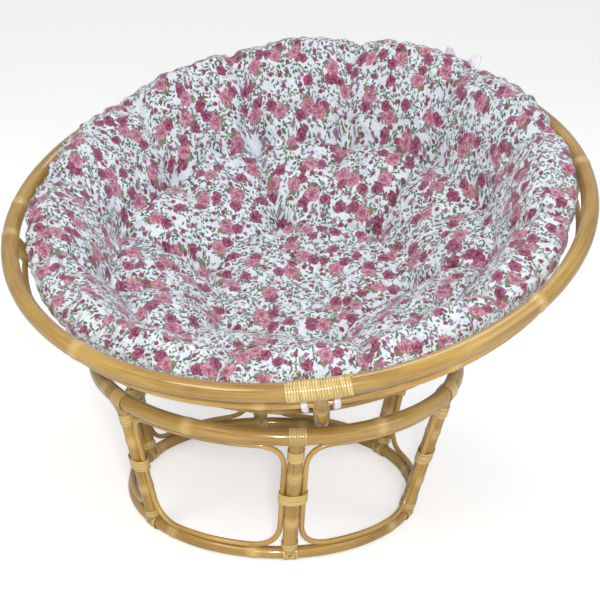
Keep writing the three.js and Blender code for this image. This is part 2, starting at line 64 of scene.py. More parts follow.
TURN = 2 * math.pi
MM = 0.001
X, Y, Z = Vector((1, 0, 0)), Vector((0, 1, 0)), Vector((0, 0, 1))
# Vertices closer than this are one
WELD = 0.01 * MM
# Weights below this move nothing that shows
LEAST_WEIGHT = 0.02
# Sides of the round tools that cut seats and holes
TOOL_STEPS, RING_SIDES, BAR_SIDES = 200, 24, 32
# Blender's wave texture runs through so many radians to a unit
WAVE_RATE = 20


class Body(Enum):
    """The two bodies that the joint connects."""

    BASE = "base"
    BOWL = "bowl"


class Slot(Enum):
    """The material slots of the record that the new pieces' finishes stand for."""

    POLE = "rattan_pole"
    CANE = "rattan_cane"
    PEEL = "cane_peel"
    PRINT = "cushion_print"
    SATIN = "tie_satin"


# Places


def base_placing() -> Matrix:
    """Returns: the placing of the base, whose axis is that of its top ring."""
    low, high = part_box("top_ring")
    return Matrix.Translation(((low.x + high.x) / 2, (low.y + high.y) / 2, 0))


def bowl_placing() -> Matrix:
    """Returns: the placing of the bowl, which is modelled about its sphere's centre."""
    tilt = Matrix.Rotation(math.radians(Bowl.tilt), 4, "X")
    lean = Matrix.Rotation(math.radians(-Bowl.lean), 4, "Y")
    return Matrix.Translation(frame["joints"][0]["pos_m"]) @ tilt @ lean


def outward(azimuth: float) -> Vector:
    """Returns: the level direction at an azimuth in radians."""
    return Vector((math.cos(azimuth), math.sin(azimuth), 0))


def frame_of(place: Vector, along: Vector, across: Vector) -> Matrix:
    """Places what is made along X.

    Args:
        place: Where its middle goes.
        along: Where its X goes.
        across: Where its Y goes.

    Returns:
        The placing.
    """
    columns = along.normalized(), across.normalized(), along.cross(across).normalized()
    return Matrix.Translation(place) @ Matrix(columns).transposed().to_4x4()


def upright(placing: Matrix) -> Matrix:
    """Returns: the placing for what is made along Z, where the other is made along X."""
    return placing @ Matrix.Rotation(math.pi / 2, 4, "Y")


def ramp(values: Points, start: float | Points, end: float | Points) -> Points:
    """Returns: 0 up to the start, 1 from the end on, and an even rise between them."""
    return np.clip((values - start) / (end - start), 0, 1)


# Modelling by operators


def deselect() -> None:
    """Leaves nothing selected, so that an operator acts on the new piece alone."""
    if bpy.context.object and bpy.context.object.mode != "OBJECT":
        bpy.ops.object.mode_set(mode="OBJECT")
    bpy.ops.object.select_all(action="DESELECT")


def choose(piece: Piece) -> None:
    """Makes a piece the only selected and the active one.

    Args:
        piece: The piece.
    """
    deselect()
    piece.select_set(True)
    bpy.context.view_layer.objects.active = piece


def added(operator: Callable[..., object], name: str, **settings: object) -> Piece:
    """Adds a primitive.

    Args:
        operator: The operator that adds it.
        name: The new piece's name.
        settings: The operator's settings.

    Returns:
        The new piece, selected all over.
    """
    deselect()
    operator(**settings)
    piece = bpy.context.object
    piece.name = piece.data.name = name
    return piece


@contextmanager
def editing(piece: Piece) -> Iterator[None]:
    """Opens a piece in edit mode with all of it selected, and closes it at the end.

    Args:
        piece: The piece.
    """
    choose(piece)
    bpy.ops.object.mode_set(mode="EDIT")
    bpy.ops.mesh.select_all(action="SELECT")
    yield
    bpy.ops.object.mode_set(mode="OBJECT")


def settle(piece: Piece) -> Piece:
    """Puts a piece's place into its mesh, which leaves its object at the origin.

    Args:
        piece: The piece.

    Returns:
        The same piece.
    """
    choose(piece)
    bpy.ops.object.transform_apply(location=True, rotation=True, scale=True)
    return piece


def apply_modifier(piece: Piece, kind: str, **settings: object) -> None:
    """Adds one modifier to a piece and applies it.

    Args:
        piece: The piece to change.
        kind: The modifier's type.
        settings: The modifier's properties.
    """
    choose(piece)
    bpy.ops.object.modifier_add(type=kind)
    modifier = piece.modifiers[-1]
    for name, value in settings.items():
        setattr(modifier, name, value)
    bpy.ops.object.modifier_apply(modifier=modifier.name)


def close_up(piece: Piece) -> None:
    """Merges a piece's doubles, fills its open ends and turns its faces outwards.

    Args:
        piece: The piece.
    """
    with editing(piece):
        bpy.ops.mesh.remove_doubles(threshold=WELD)
        bpy.ops.mesh.fill_holes(sides=0)
        bpy.ops.mesh.normals_make_consistent(inside=False)


def smooth(piece: Piece, angle: float = 40) -> None:
    """Shades a piece smooth, but for edges sharper than an angle."""
    choose(piece)
    bpy.ops.object.shade_smooth_by_angle(angle=math.radians(angle))


def spin(piece: Piece, steps: int, sweep: float, axis: Vector) -> None:
    """Spins a piece's section about an axis through the origin, and closes it up.

    Args:
        piece: The section.
        steps: Stations of the spin.
        sweep: The whole turn, in radians.
        axis: The axis.
    """
    with editing(piece):
        bpy.ops.mesh.spin(steps=steps, angle=sweep, center=(0, 0, 0), axis=axis)
    settle(piece)
    close_up(piece)


def copy_of(piece: Piece, name: str, placing: Matrix) -> Piece:
    """Copies a piece with a mesh of its own.

    Args:
        piece: The piece to copy.
        name: The copy's name.
        placing: Where the copy goes.

    Returns:
        The copy.
    """
    twin = piece.copy()
    twin.data = piece.data.copy()
    twin.name = twin.data.name = name
    twin.data.transform(placing)
    bpy.context.scene.collection.objects.link(twin)
    return twin


def cut(piece: Piece, *tools: Piece) -> None:
    """Takes the tools' space away from a piece, and removes the tools.

    Args:
        piece: The piece.
        tools: What is cut out of it.
    """
    for tool in tools:
        apply_modifier(piece, "BOOLEAN", operation="DIFFERENCE", solver="EXACT", object=tool)
        bpy.data.objects.remove(tool)


def values_of(
    elements: bpy.types.bpy_prop_collection, name: str, width: int = 1, kind: type = int
) -> Points:
    """Reads one property of all the elements of a mesh.

    Args:
        elements: Such as its vertices.
        name: The property.
        width: How many numbers each element has.
        kind: What kind of numbers they are.

    Returns:
        The numbers, in one row.
    """
    values = np.empty(width * len(elements), kind)
    elements.foreach_get(name, values)
    return values


def points_of(piece: Piece) -> Points:
    """Returns: the piece's vertices, one row each."""
    return values_of(piece.data.vertices, "co", 3, float).reshape(-1, 3)


def reshape(piece: Piece, rule: Callable[[Points], Points]) -> None:
    """Moves every vertex of a piece by a rule."""
    piece.data.vertices.foreach_set("co", rule(points_of(piece)).ravel())
    piece.data.update()


def weigh(piece: Piece, name: str, weights: Points, least: float) -> None:
    """Gives a piece a vertex group.

    Args:
        piece: The piece.
        name: The group's name.
        weights: Each vertex's weight.
        least: Only weights above this one are kept.
    """
    group = piece.vertex_groups.new(name=name)
    for index in np.flatnonzero(weights > least):
        group.add([int(index)], float(weights[index]), "REPLACE")


def roughen(piece: Piece, name: str, rise: float, length: float, group: str = "") -> None:
    """Moves a piece's surface in and out at random.

    Args:
        piece: The piece.
        name: What the unevenness is called.
        rise: How far it goes from lowest to highest.
        length: The usual distance from one rise to the next.
        group: The vertex group that moves; without one, all of it does.
    """
    cloud = bpy.data.textures.new(name, "CLOUDS")
    cloud.noise_scale = length
    settings = {"texture": cloud, "strength": rise, "mid_level": 0.5, "vertex_group": group}
    apply_modifier(piece, "DISPLACE", **settings)


def ring_tool(radius: float, pole: float, height: float) -> Piece:
    """Adds a cutting ring about the Z axis.

    Args:
        radius: The ring's middle radius.
        pole: Its pole's diameter.
        height: Its height.

    Returns:
        The tool.
    """
    tool = added(
        bpy.ops.mesh.primitive_torus_add,
        "tool",
        major_radius=radius,
        minor_radius=pole / 2,
        major_segments=TOOL_STEPS,
        minor_segments=RING_SIDES,
        location=(0, 0, height),
    )
    return settle(tool)


def bar_tool(diameter: float, length: float, placing: Matrix) -> Piece:
    """Adds a cutting bar along the Z axis of a placing.

    Args:
        diameter: The bar's diameter.
        length: Its length.
        placing: Where its middle goes.

    Returns:
        The tool.
    """
    size = {"vertices": BAR_SIDES, "radius": diameter / 2, "depth": length}
    tool = added(bpy.ops.mesh.primitive_cylinder_add, "tool", **size)
    tool.data.transform(placing)
    return tool


# Courses: where a point of a pole or strip lies along it and across it


@dataclass(frozen=True)
class RingCourse:
    """A level ring about the Z axis, whose two ends meet at an azimuth."""

    radius: float
    height: float
    joint: float = math.pi / 2

    @property
    def length(self) -> float:
        """Returns: the length once round."""
        return TURN * self.radius

    def locate(self, points: Points) -> Points:
        """Places points on the ring.

        Args:
            points: The points.

        Returns:
            For each, its way along the ring and its place across it.
        """
        azimuth = (np.arctan2(points[:, 1], points[:, 0]) - self.joint) % TURN
        reach = np.hypot(points[:, 0], points[:, 1]) - self.radius
        return np.stack([azimuth * self.radius, reach, points[:, 2] - self.height], 1)


@dataclass(frozen=True)
class ArcCourse:
    """An upright arc in the XZ plane, below the centre of a circle."""

    radius: float
    length: float = 0

    def locate(self, points: Points) -> Points:
        """Places points on the arc.

        Args:
            points: The points.

        Returns:
            For each, its way along the arc and its place across it.
        """
        along = np.arctan2(points[:, 0], -points[:, 2]) * self.radius
        reach = np.hypot(points[:, 0], points[:, 2]) - self.radius
        return np.stack([along, reach, points[:, 1]], 1)


@dataclass(frozen=True)
class BarCourse:
    """A straight line along the Z axis."""

    length: float = 0

    def locate(self, points: Points) -> Points:
        """Returns: for each point, its way along the line and its place across it."""
        return np.stack([points[:, 2], points[:, 0], points[:, 1]], 1)


@dataclass(frozen=True)
class PathCourse:
    """A closed line through a row of points."""

    route: tuple[Sizes, ...]
    length: float = 0

    def locate(self, points: Points) -> Points:
        """Places points on the line.

        Args:
            points: The points.

        Returns:
            For each, its way along the line and its offset from it.
        """
        route = np.array(self.route)
        steps = np.linalg.norm(np.roll(route, -1, 0) - route, axis=1)
        way = np.concatenate([[0], np.cumsum(steps)[:-1]])
        near = np.linalg.norm(points[:, None] - route[None], axis=2).argmin(1)
        offset = points - route[near]
        return np.stack([way[near], offset[:, 0] + offset[:, 1], offset[:, 2]], 1)


@dataclass(frozen=True)
class WindingCourse:
    """A strip wound round the X axis, advancing by a pitch each turn."""

    radius: float
    pitch: float
    length: float = 0

    def locate(self, points: Points) -> Points:
        """Places points on the strip.

        Args:
            points: The points.

        Returns:
            For each, its way along the strip and its place across it.
        """
        turned = np.arctan2(points[:, 1], points[:, 2]) / TURN
        whole = np.round(points[:, 0] / self.pitch + turned)
        across = points[:, 0] - (whole - turned) * self.pitch
        lift = np.hypot(points[:, 1], points[:, 2]) - self.radius
        return np.stack([(whole - turned) * TURN * self.radius, across, lift], 1)


Course = RingCourse | ArcCourse | BarCourse | PathCourse | WindingCourse


# Poles and strips


def write_grain(
    piece: Piece, course: Course, knots: Sequence[float] = (), start: float = 0
) -> None:
    """Keeps each corner's place along and across a pole, and its way to a knot.

    Args:
        piece: The pole or strip, still where its course is.
        course: The line that it follows.
        knots: Places of the rattan's knots along the course.
        start: What is added to the way along, so that no two poles look alike.
    """
    mesh = piece.data
    corner = course.locate(points_of(piece))[values_of(mesh.loops, "vertex_index")]
    if course.length:
        first, count = (values_of(mesh.polygons, name) for name in ("loop_start", "loop_total"))
        origin = np.repeat(corner[first, 0], count)
        half = course.length / 2
        corner[:, 0] = origin + (corner[:, 0] - origin + half) % course.length - half
    far = np.full(len(corner), 1.0)
    for knot in knots:
        far = np.minimum(far, np.abs(corner[:, 0] - knot))
    corner[:, 0] += start
    grain = mesh.attributes.new("grain", "FLOAT_VECTOR", "CORNER")
    grain.data.foreach_set("vector", corner.ravel())
    mesh.attributes.new("knot", "FLOAT", "CORNER").data.foreach_set("value", far)


def grow(piece: Piece, course: Course, knots: Sequence[float]) -> None:
    """Gives a pole the ridges at its knots and the slight waver of grown rattan.

    Args:
        piece: The pole, still where its course is.
        course: The line that it follows.
        knots: Places of the proud knots along the course.
    """
    if knots:
        along = course.locate(points_of(piece))[:, 0]
        ridges = [np.exp(-(((along - knot) / Rattan.knot_width) ** 2)) for knot in knots]
        weigh(piece, "knots", np.max(ridges, axis=0), LEAST_WEIGHT)
        rise = {"vertex_group": "knots", "strength": Rattan.knot_rise, "mid_level": 0}
        apply_modifier(piece, "DISPLACE", **rise)
    roughen(piece, f"{piece.name}_waver", Rattan.waver, Rattan.waver_length)


def bent_ring(
    node: str,
    course: RingCourse,
    pole: float,
    knots: Sequence[float],
    flush: Sequence[float] = (),
    tools: Sequence[Piece] = (),
) -> Piece:
    """Bends a pole or a cane to a ring.

    Args:
        node: The solid that it stands for.
        course: Its middle line.
        pole: Its diameter.
        knots: The azimuths of the knots that stand proud.
        flush: The azimuths of the knots that are sanded flush.
        tools: What is cut out of it.

    Returns:
        The ring.
    """
    ring = added(
        bpy.ops.mesh.primitive_circle_add,
        f"{node}_pole",
        vertices=Rattan.sides,
        radius=pole / 2,
        location=(course.radius, 0, course.height),
        rotation=(math.pi / 2, 0, 0),
    )
    spin(ring, round(course.length / Rattan.station), TURN, Z)
    turns = [(math.radians(knot) - course.joint) % TURN for knot in (*knots, *flush)]
    places = [turn * course.radius for turn in turns]
    grow(ring, course, places[: len(knots)])
    cut(ring, *tools)
    write_grain(ring, course, places)
    smooth(ring)
    return ring


def strip_section(name: str, scale: Sizes, **place: Sequence[float]) -> Piece:
    """Draws the section of a strip of cane peel, a rectangle with rounded corners.

    Args:
        name: The piece's name.
        scale: The rectangle's size along X and Y, and 1.
        place: Where it is and how it is turned.

    Returns:
        The section's outline.
    """
    section = added(bpy.ops.mesh.primitive_plane_add, name, size=1, **place)
    section.scale = scale
    settle(section)
    rounding = CanePeel.thickness * CanePeel.rounding
    with editing(section):
        bpy.ops.mesh.bevel(offset=rounding, segments=2, affect="VERTICES")
        bpy.ops.mesh.delete(type="ONLY_FACE")
    return section


def wound_strip(name: str, radius: float, pitch: float, turns: int) -> Piece:
    """Winds a strip of cane peel round the X axis, in one unbroken helix.

    Args:
        name: The piece's name.
        radius: The radius that the strip lies on.
        pitch: The advance of one turn.
        turns: Count of turns.

    Returns:
        The winding, centred on the origin.
    """
    peel = CanePeel
    winding = strip_section(
        name,
        (peel.width, peel.thickness, 1),
        location=(-pitch * turns / 2, 0, radius + peel.thickness / 2),
        rotation=(math.pi / 2, 0, 0),
    )
    screw = {"axis": "X", "screw_offset": pitch, "iterations": turns}
    apply_modifier(winding, "SCREW", **screw, steps=peel.steps, render_steps=peel.steps)
    close_up(winding)
    write_grain(winding, WindingCourse(radius, pitch))
    return winding


def oval(radius: float, wide: float, deep: float) -> Callable[[Points], Points]:
    """Makes the rule that turns a round winding about X into an oval one.

    Args:
        radius: The round winding's inner radius.
        wide: The oval's half width, along Y.
        deep: Its half depth, along Z.

    Returns:
        The rule.
    """

    def rule(points: Points) -> Points:
        """Places the round winding's points on the oval.

        Args:
            points: The points.

        Returns:
            The same points, as far off the oval as they were off the circle.
        """
        angle = np.arctan2(points[:, 2], points[:, 1])
        lift = np.hypot(points[:, 1], points[:, 2]) - radius
        normal = np.stack([np.cos(angle) / wide, np.sin(angle) / deep])
        normal /= np.linalg.norm(normal, axis=0)
        y = wide * np.cos(angle) + normal[0] * lift
        z = deep * np.sin(angle) + normal[1] * lift
        return np.stack([points[:, 0], y, z], 1)

    return rule


# Finishes


def linear(colour: str) -> tuple[float, float, float, float]:
    """Turns an sRGB hex colour to linear.

    Args:
        colour: Such as "#e8eef6".

    Returns:
        Red, green, blue and alpha.
    """
    shares = [int(colour[k : k + 2], 16) / 255 for k in (1, 3, 5)]
    low, slope, lift, power = 0.04045, 12.92, 0.055, 2.4
    red, green, blue = (
        share / slope if share <= low else ((share + lift) / (1 + lift)) ** power
        for share in shares
    )
    return red, green, blue, 1


class Surface:
    """A material, or the world, being written one node at a time."""

    def __init__(self, owner: bpy.types.ID, shader: str = "Principled BSDF") -> None:
        """Starts with the owner's bare shader.

        Args:
            owner: The material or world.
            shader: The name of its shader's node.
        """
        owner.use_nodes = True
        self.owner = owner
        self.tree = owner.node_tree
        self.shader = self.tree.nodes[shader]

    def feed(self, socket: Socket, value: object) -> None:
        """Links a socket to another, or sets it.

        Args:
            socket: The socket.
            value: Another socket, a colour, a number or a vector; None leaves it as it is.
        """
        if isinstance(value, Socket):
            self.tree.links.new(value, socket)
        elif isinstance(value, str):
            socket.default_value = linear(value)
        elif value is not None:
            socket.default_value = value

    def add(
        self,
        kind: str,
        *inputs: object,
        out: int | str = 0,
        stops: Sequence[tuple[float, str]] = (),
        **settings: object,
    ) -> Socket:
        """Adds a node with its settings and links.

        Args:
            kind: The node's type, without its usual prefix.
            inputs: What goes into its sockets, in order; None leaves one as it is.
            out: Which output is wanted.
            stops: A colour ramp's places and colours.
            settings: The node's properties.

        Returns:
            The wanted output.
        """
        node = self.tree.nodes.new(f"ShaderNode{kind}")
        for name, value in settings.items():
            setattr(node, name, value)
        for socket, value in zip(node.inputs, inputs):
            self.feed(socket, value)
        for index, (place, colour) in enumerate(stops):
            elements = node.color_ramp.elements
            stop = elements[index] if index < 2 else elements.new(place)
            stop.position = place
            stop.color = linear(colour)
        return node.outputs[out]

    def drawn_out(self, place: Socket, sizes: Sizes, detail: float, roughness: float) -> Socket:
        """Adds noise that is longer one way than another, as grain and fibres are.

        Args:
            place: The place on the piece.
            sizes: The noise's real size along each axis.
            detail: How many finer layers it has.
            roughness: How much they show.

        Returns:
            The noise.
        """
        spot = self.add("VectorMath", place, [1 / size for size in sizes], operation="MULTIPLY")
        return self.add("TexNoise", spot, None, 1.0, detail, roughness)

    def dress(self, **inputs: object) -> bpy.types.ID:
        """Feeds the shader's own sockets.

        Args:
            inputs: Socket names with underscores for spaces, and their values.

        Returns:
            The finished material or world.
        """
        for name, value in inputs.items():
            self.feed(self.shader.inputs[name.replace("_", " ")], value)
        return self.owner


@dataclass(frozen=True)
class Rattan:
    """Rattan pole with its skin on, sanded and lacquered: honey-coloured with fine
    lengthwise streaks, darker scars at the knots and a hard, narrow gloss."""

    name: str
    light: str = "#be9d50"
    middle: str = "#a8843a"
    dark: str = "#886425"
    scar: str = "#7a5526"
    patch: str = "#d3b470"
    # Sizes along the pole and twice across it
    streak: Sizes = (110 * MM, 1.3 * MM, 1.3 * MM)
    fleck: Sizes = (7 * MM, 0.8 * MM, 0.8 * MM)
    mottle: Sizes = (160 * MM, 40 * MM, 40 * MM)
    # How far from a knot the scar and the pale patch round it fade
    scar_fade: Spot = (2.2 * MM, 4.6 * MM)
    patch_fade: Spot = (3 * MM, 16 * MM)
    ragged: float = 5 * MM
    relief: float = 0.4 * MM
    roughness: float = 0.36
    # Shape of grown rattan
    sides: int = 24
    knot_width: float = 6 * MM
    knot_rise: float = 1.2 * MM
    station: float = 6.5 * MM
    waver: float = 0.6 * MM
    waver_length: float = 60 * MM

    def material(self) -> Material:
        """Returns: the pole's material."""
        s = Surface(bpy.data.materials.new(self.name))
        grain = s.add("Attribute", out="Vector", attribute_name="grain")
        knot = s.add("Attribute", out="Fac", attribute_name="knot")
        streak = s.drawn_out(grain, self.streak, 3, 0.6)
        fleck = s.drawn_out(grain, self.fleck, 2, 0.6)
        mottle = s.drawn_out(grain, self.mottle, 3, 0.6)
        tone = s.add("Math", streak, mottle, operation="ADD")
        tone = s.add("Math", tone, 0.5, operation="MULTIPLY")
        stops = ((0.36, self.dark), (0.62, self.light), (0.49, self.middle))
        colour = s.add("ValToRGB", tone, stops=stops)
        flecks = s.add("MapRange", fleck, 0.62, 0.74, 0, 0.35)
        colour = s.add("MixRGB", flecks, colour, self.dark)
        ragged = s.add("Math", mottle, self.ragged, knot, operation="MULTIPLY_ADD")
        scar = s.add("MapRange", ragged, *self.scar_fade, 0.5, 0)
        patch = s.add("MapRange", knot, *self.patch_fade, 0.7, 0)
        colour = s.add("MixRGB", patch, colour, self.patch)
        colour = s.add("MixRGB", scar, colour, self.scar)
        rough = s.add("MapRange", mottle, 0.3, 0.7, self.roughness - 0.06, self.roughness + 0.08)
        relief = s.add("Math", streak, scar, operation="SUBTRACT")
        bump = s.add("Bump", 0.35, self.relief, None, relief)
        coat = {"Coat_Weight": 1.0, "Coat_Roughness": 0.1}
        return s.dress(Base_Color=colour, Roughness=rough, IOR=1.5, **coat, Normal=bump)


@dataclass(frozen=True)
class CanePeel:
    """Cane peel, split from rattan skin and wound wet: pale straw strips with the
    skin's silky gloss, each turn a little lighter or darker than the next."""

    name: str = "split_cane_peel"
    light: str = "#dcc788"
    middle: str = "#c9b06b"
    dark: str = "#b0904c"
    # Sizes along the strip, across it and through it
    fibre: Sizes = (30 * MM, 0.5 * MM, 0.5 * MM)
    turn: Sizes = (45 * MM, 9 * MM, math.inf)
    relief: float = 0.2 * MM
    roughness: float = 0.3
    # Shape of the strip
    width: float = 4.1 * MM
    thickness: float = 1.3 * MM
    rounding: float = 0.4
    steps: int = 28

    def material(self) -> Material:
        """Returns: the peel's material."""
        s = Surface(bpy.data.materials.new(self.name))
        grain = s.add("Attribute", out="Vector", attribute_name="grain")
        fibre = s.drawn_out(grain, self.fibre, 2, 0.5)
        turn = s.drawn_out(grain, self.turn, 1, 0.5)
        tone = s.add("Math", fibre, 0.35, operation="MULTIPLY")
        tone = s.add("Math", turn, tone, operation="ADD")
        stops = ((0.5, self.dark), (0.86, self.light), (0.68, self.middle))
        colour = s.add("ValToRGB", tone, stops=stops)
        bump = s.add("Bump", 0.3, self.relief, None, fibre)
        coat = {"Coat_Weight": 0.9, "Coat_Roughness": 0.12}
        return s.dress(
            Base_Color=colour, Roughness=self.roughness, IOR=1.5, **coat, Normal=bump
        )


@dataclass(frozen=True)
class DowelBeech:
    """Beech dowel, turned and left unlacquered: pale pinkish wood, dull, with fine
    short flecks along it."""

    name: str = "turned_beech_dowel"
    light: str = "#d7b184"
    dark: str = "#b78b5c"
    fleck: Sizes = (0.7 * MM, 0.7 * MM, 6 * MM)
    relief: float = 0.2 * MM

    def material(self) -> Material:
        """Returns: the dowels' material."""
        s = Surface(bpy.data.materials.new(self.name))
        fleck = s.drawn_out(s.add("TexCoord", out="Object"), self.fleck, 2, 0.6)
        colour = s.add("ValToRGB", fleck, stops=((0.35, self.dark), (0.65, self.light)))
        bump = s.add("Bump", 0.3, self.relief, None, fleck)
        return s.dress(Base_Color=colour, Roughness=0.7, Normal=bump)


@dataclass(frozen=True)
class SatinTape:
    """Satin ribbon, woven from filament yarn: nearly white with a lilac cast, and a
    soft, broad shine that runs along the ribbon."""

    name: str = "woven_satin_ribbon"
    light: str = "#efedf8"
    shade: str = "#cfcbe2"
    cloud: float = 20 * MM
    # One radian of the ribs, drawn far coarser than real yarn so that they show
    rib: float = 1.2 * MM
    relief: float = 0.2 * MM

    def material(self) -> Material:
        """Returns: the ties' material."""
        s = Surface(bpy.data.materials.new(self.name))
        place = s.add("TexCoord", out="Object")
        cloud = s.add("TexNoise", place, None, 1 / self.cloud, 2, 0.5)
        colour = s.add("ValToRGB", cloud, stops=((0.35, self.shade), (0.6, self.light)))
        ribs = s.add("TexWave", place, 1 / (WAVE_RATE * self.rib), 0.2)
        bump = s.add("Bump", 0.25, self.relief, None, ribs)
        sheen = {"Sheen_Weight": 0.5, "Sheen_Roughness": 0.3}
        return s.dress(Base_Color=colour, Roughness=0.36, **sheen, Normal=bump)


@dataclass(frozen=True)
class PrintedCotton:
    """Cotton twill, screen-printed with roses: a matt, faintly blue-white ground with
    flat patches of ink, and a fine weave that only roughens the highlights."""

    name: str = "rose_printed_cotton"
    ground: str = "#dae2ec"
    ground_shade: str = "#c6d0de"
    # Light, middle and dark inks
    pink: tuple[str, str, str] = ("#c9a0b0", "#a96a83", "#85425f")
    crimson: tuple[str, str, str] = ("#a56d86", "#863a59", "#5c2440")
    mauve: str = "#a07a9c"
    mauve_dark: str = "#7d4f74"
    olive: str = "#7b7a4e"
    green: str = "#4f6c4b"
    green_dark: str = "#284132"
    # How far apart the motifs are, and their sizes
    pair_cell: float = 76 * MM
    pink_radius: float = 15.5 * MM
    crimson_radius: float = 11.5 * MM
    clump_radius: float = 11 * MM
    clump_edge: float = 4 * MM
    single_cell: float = 56 * MM
    single_radius: float = 11.5 * MM
    bud_cell: float = 22 * MM
    bud_radius: float = 4.8 * MM
    petal: float = 5 * MM
    petal_count: float = 5.0
    leaf_cell: float = 9 * MM
    leaf_length: float = 4.5 * MM
    leaf_width: float = 2.0 * MM
    spray: float = 24 * MM
    # How far the ink strays, and over what length
    stray: float = 3 * MM
    stray_length: float = 6 * MM
    cloud: float = 30 * MM
    # One radian of the weave, drawn far coarser than real thread so that it shows
    thread: float = 1.4 * MM
    thread_relief: float = 0.2 * MM
    pucker: float = 14 * MM
    pucker_relief: float = 6 * MM

    def petals(
        self, s: Surface, place: Socket, offset: Socket, radius: float, tones: Sequence[str]
    ) -> tuple[Socket, Socket]:
        """Draws one rose: mottled petals round a dark heart, wavy round the outside.

        Args:
            s: The material being written.
            place: The place on the cloth.
            offset: Each point's place from the rose's middle.
            radius: The rose's radius.
            tones: Its light, middle and dark inks.

        Returns:
            The rose's colour, and 1 inside it and 0 outside.
        """
        reach = s.add("VectorMath", offset, out="Value", operation="LENGTH")
        x, y = (s.add("SeparateXYZ", offset, out=axis) for axis in "XY")
        angle = s.add("Math", y, x, operation="ARCTAN2")
        whorl = s.add("TexNoise", place, None, 2 / radius, 2, 0.6)
        lobes = s.add("Math", angle, self.petal_count, operation="MULTIPLY")
        lobes = s.add("Math", lobes, operation="SINE")
        edge = s.add("Math", lobes, 0.06, 0.7, operation="MULTIPLY_ADD")
        edge = s.add("Math", whorl, 0.6, edge, operation="MULTIPLY_ADD")
        share = s.add("Math", reach, 1 / radius, operation="MULTIPLY")
        share = s.add("Math", share, edge, operation="DIVIDE")
        inside = s.add("MapRange", share, 0.92, 1.06, 1, 0)
        petal = s.add("TexNoise", place, None, 1 / self.petal, 2, 0.6, None, None, None, 1.5)
        light, middle, dark = tones
        colour = s.add("ValToRGB", petal, stops=((0.36, dark), (0.6, light), (0.47, middle)))
        heart = s.add("MapRange", share, 0.05, 0.5, 0.8, 0)
        return s.add("MixRGB", heart, colour, dark), inside

    def cells(
        self, s: Surface, place: Socket, cell: float, shift: float
    ) -> tuple[Socket, Socket]:
        """Scatters motifs, one to a cell.

        Args:
            s: The material being written.
            place: The place on the cloth.
            cell: The usual distance between motifs.
            shift: Moves this scatter away from the others.

        Returns:
            Each point's place from its motif, and the motif's random colour.
        """
        moved = s.add("VectorMath", place, (shift, shift / 2, 0), operation="ADD")
        inputs = (moved, None, 1 / cell)
        node = {"voronoi_dimensions": "2D", "feature": "F1"}
        middle = s.add("TexVoronoi", *inputs, out="Position", **node)
        chance = s.add("TexVoronoi", *inputs, out="Color", **node)
        return s.add("VectorMath", moved, middle, operation="SUBTRACT"), chance

    def turned(
        self, s: Surface, offset: Socket, chance: Socket, reach: float, extra: float
    ) -> Socket:
        """Turns a motif's frame by its own random angle and shifts it outwards.

        Args:
            s: The material being written.
            offset: Each point's place from its motif.
            chance: The motif's random colour.
            reach: How far the shift goes.
            extra: A further turn, in radians.

        Returns:
            Each point's place in the new frame.
        """
        red = s.add("SeparateXYZ", chance, out="X")
        angle = s.add("Math", red, TURN, extra, operation="MULTIPLY_ADD")
        spot = s.add("VectorRotate", offset, None, None, angle, rotation_type="Z_AXIS")
        return s.add("VectorMath", spot, (reach, 0, 0), operation="SUBTRACT")

    def material(self) -> Material:
        """Returns: the cushion's material."""
        s = Surface(bpy.data.materials.new(self.name))
        place = s.add("UVMap", uv_map="print")
        stray = s.add("TexNoise", place, None, 1 / self.stray_length, 1, 0.5, out="Color")
        stray = s.add("VectorMath", stray, (0.5, 0.5, 0.5), operation="SUBTRACT")
        stray = s.add("VectorMath", stray, (self.stray, self.stray, 0), operation="MULTIPLY")
        wavy = s.add("VectorMath", place, stray, operation="ADD")
        cloud = s.add("TexNoise", place, None, 1 / self.cloud, 2, 0.5)
        colour = s.add("ValToRGB", cloud, stops=((0.3, self.ground_shade), (0.7, self.ground)))

        for shift, *inks in ((0.3, self.olive, self.green), (1.1, self.green, self.green_dark)):
            offset, chance = self.cells(s, wavy, self.leaf_cell, shift)
            leaf = self.turned(s, offset, chance, 0, 0)
            size = (1 / self.leaf_length, 1 / self.leaf_width, 0)
            leaf = s.add("VectorMath", leaf, size, operation="MULTIPLY")
            leaf = s.add("VectorMath", leaf, out="Value", operation="LENGTH")
            inside = s.add("MapRange", leaf, 0.85, 1.1, 1, 0)
            share = s.add("SeparateXYZ", chance, out="Y")
            ink = s.add("MixRGB", share, *inks)
            away = s.add("VectorMath", place, (shift, shift, 0), operation="ADD")
            spray = s.add("TexNoise", away, None, 1 / self.spray, 1, 0.5)
            shown = s.add("MapRange", spray, 0.44, 0.5, 0, 0.9)
            inside = s.add("Math", inside, shown, operation="MULTIPLY")
            colour = s.add("MixRGB", inside, colour, ink)

        offset, chance = self.cells(s, wavy, self.bud_cell, 2.3)
        reach = s.add("VectorMath", offset, out="Value", operation="LENGTH")
        inside = s.add("MapRange", reach, self.bud_radius * 0.85, self.bud_radius * 1.1, 1, 0)
        heart = s.add("MapRange", reach, 0, self.bud_radius * 0.7, 1, 0)
        ink = s.add("MixRGB", heart, self.mauve, self.mauve_dark)
        pick = s.add("SeparateXYZ", chance, out="Y")
        pick = s.add("MapRange", pick, 0.5, 0.52, 0, 1)
        ink = s.add("MixRGB", pick, ink, self.pink[-1])
        colour = s.add("MixRGB", inside, colour, ink)

        offset, chance = self.cells(s, wavy, self.single_cell, 3.7)
        pick = s.add("SeparateXYZ", chance, out="Z")
        pick = s.add("MapRange", pick, 0.34, 0.36, 0, 1)
        ink, inside = self.petals(s, wavy, offset, self.single_radius, self.crimson)
        inside = s.add("Math", inside, pick, operation="MULTIPLY")
        colour = s.add("MixRGB", inside, colour, ink)

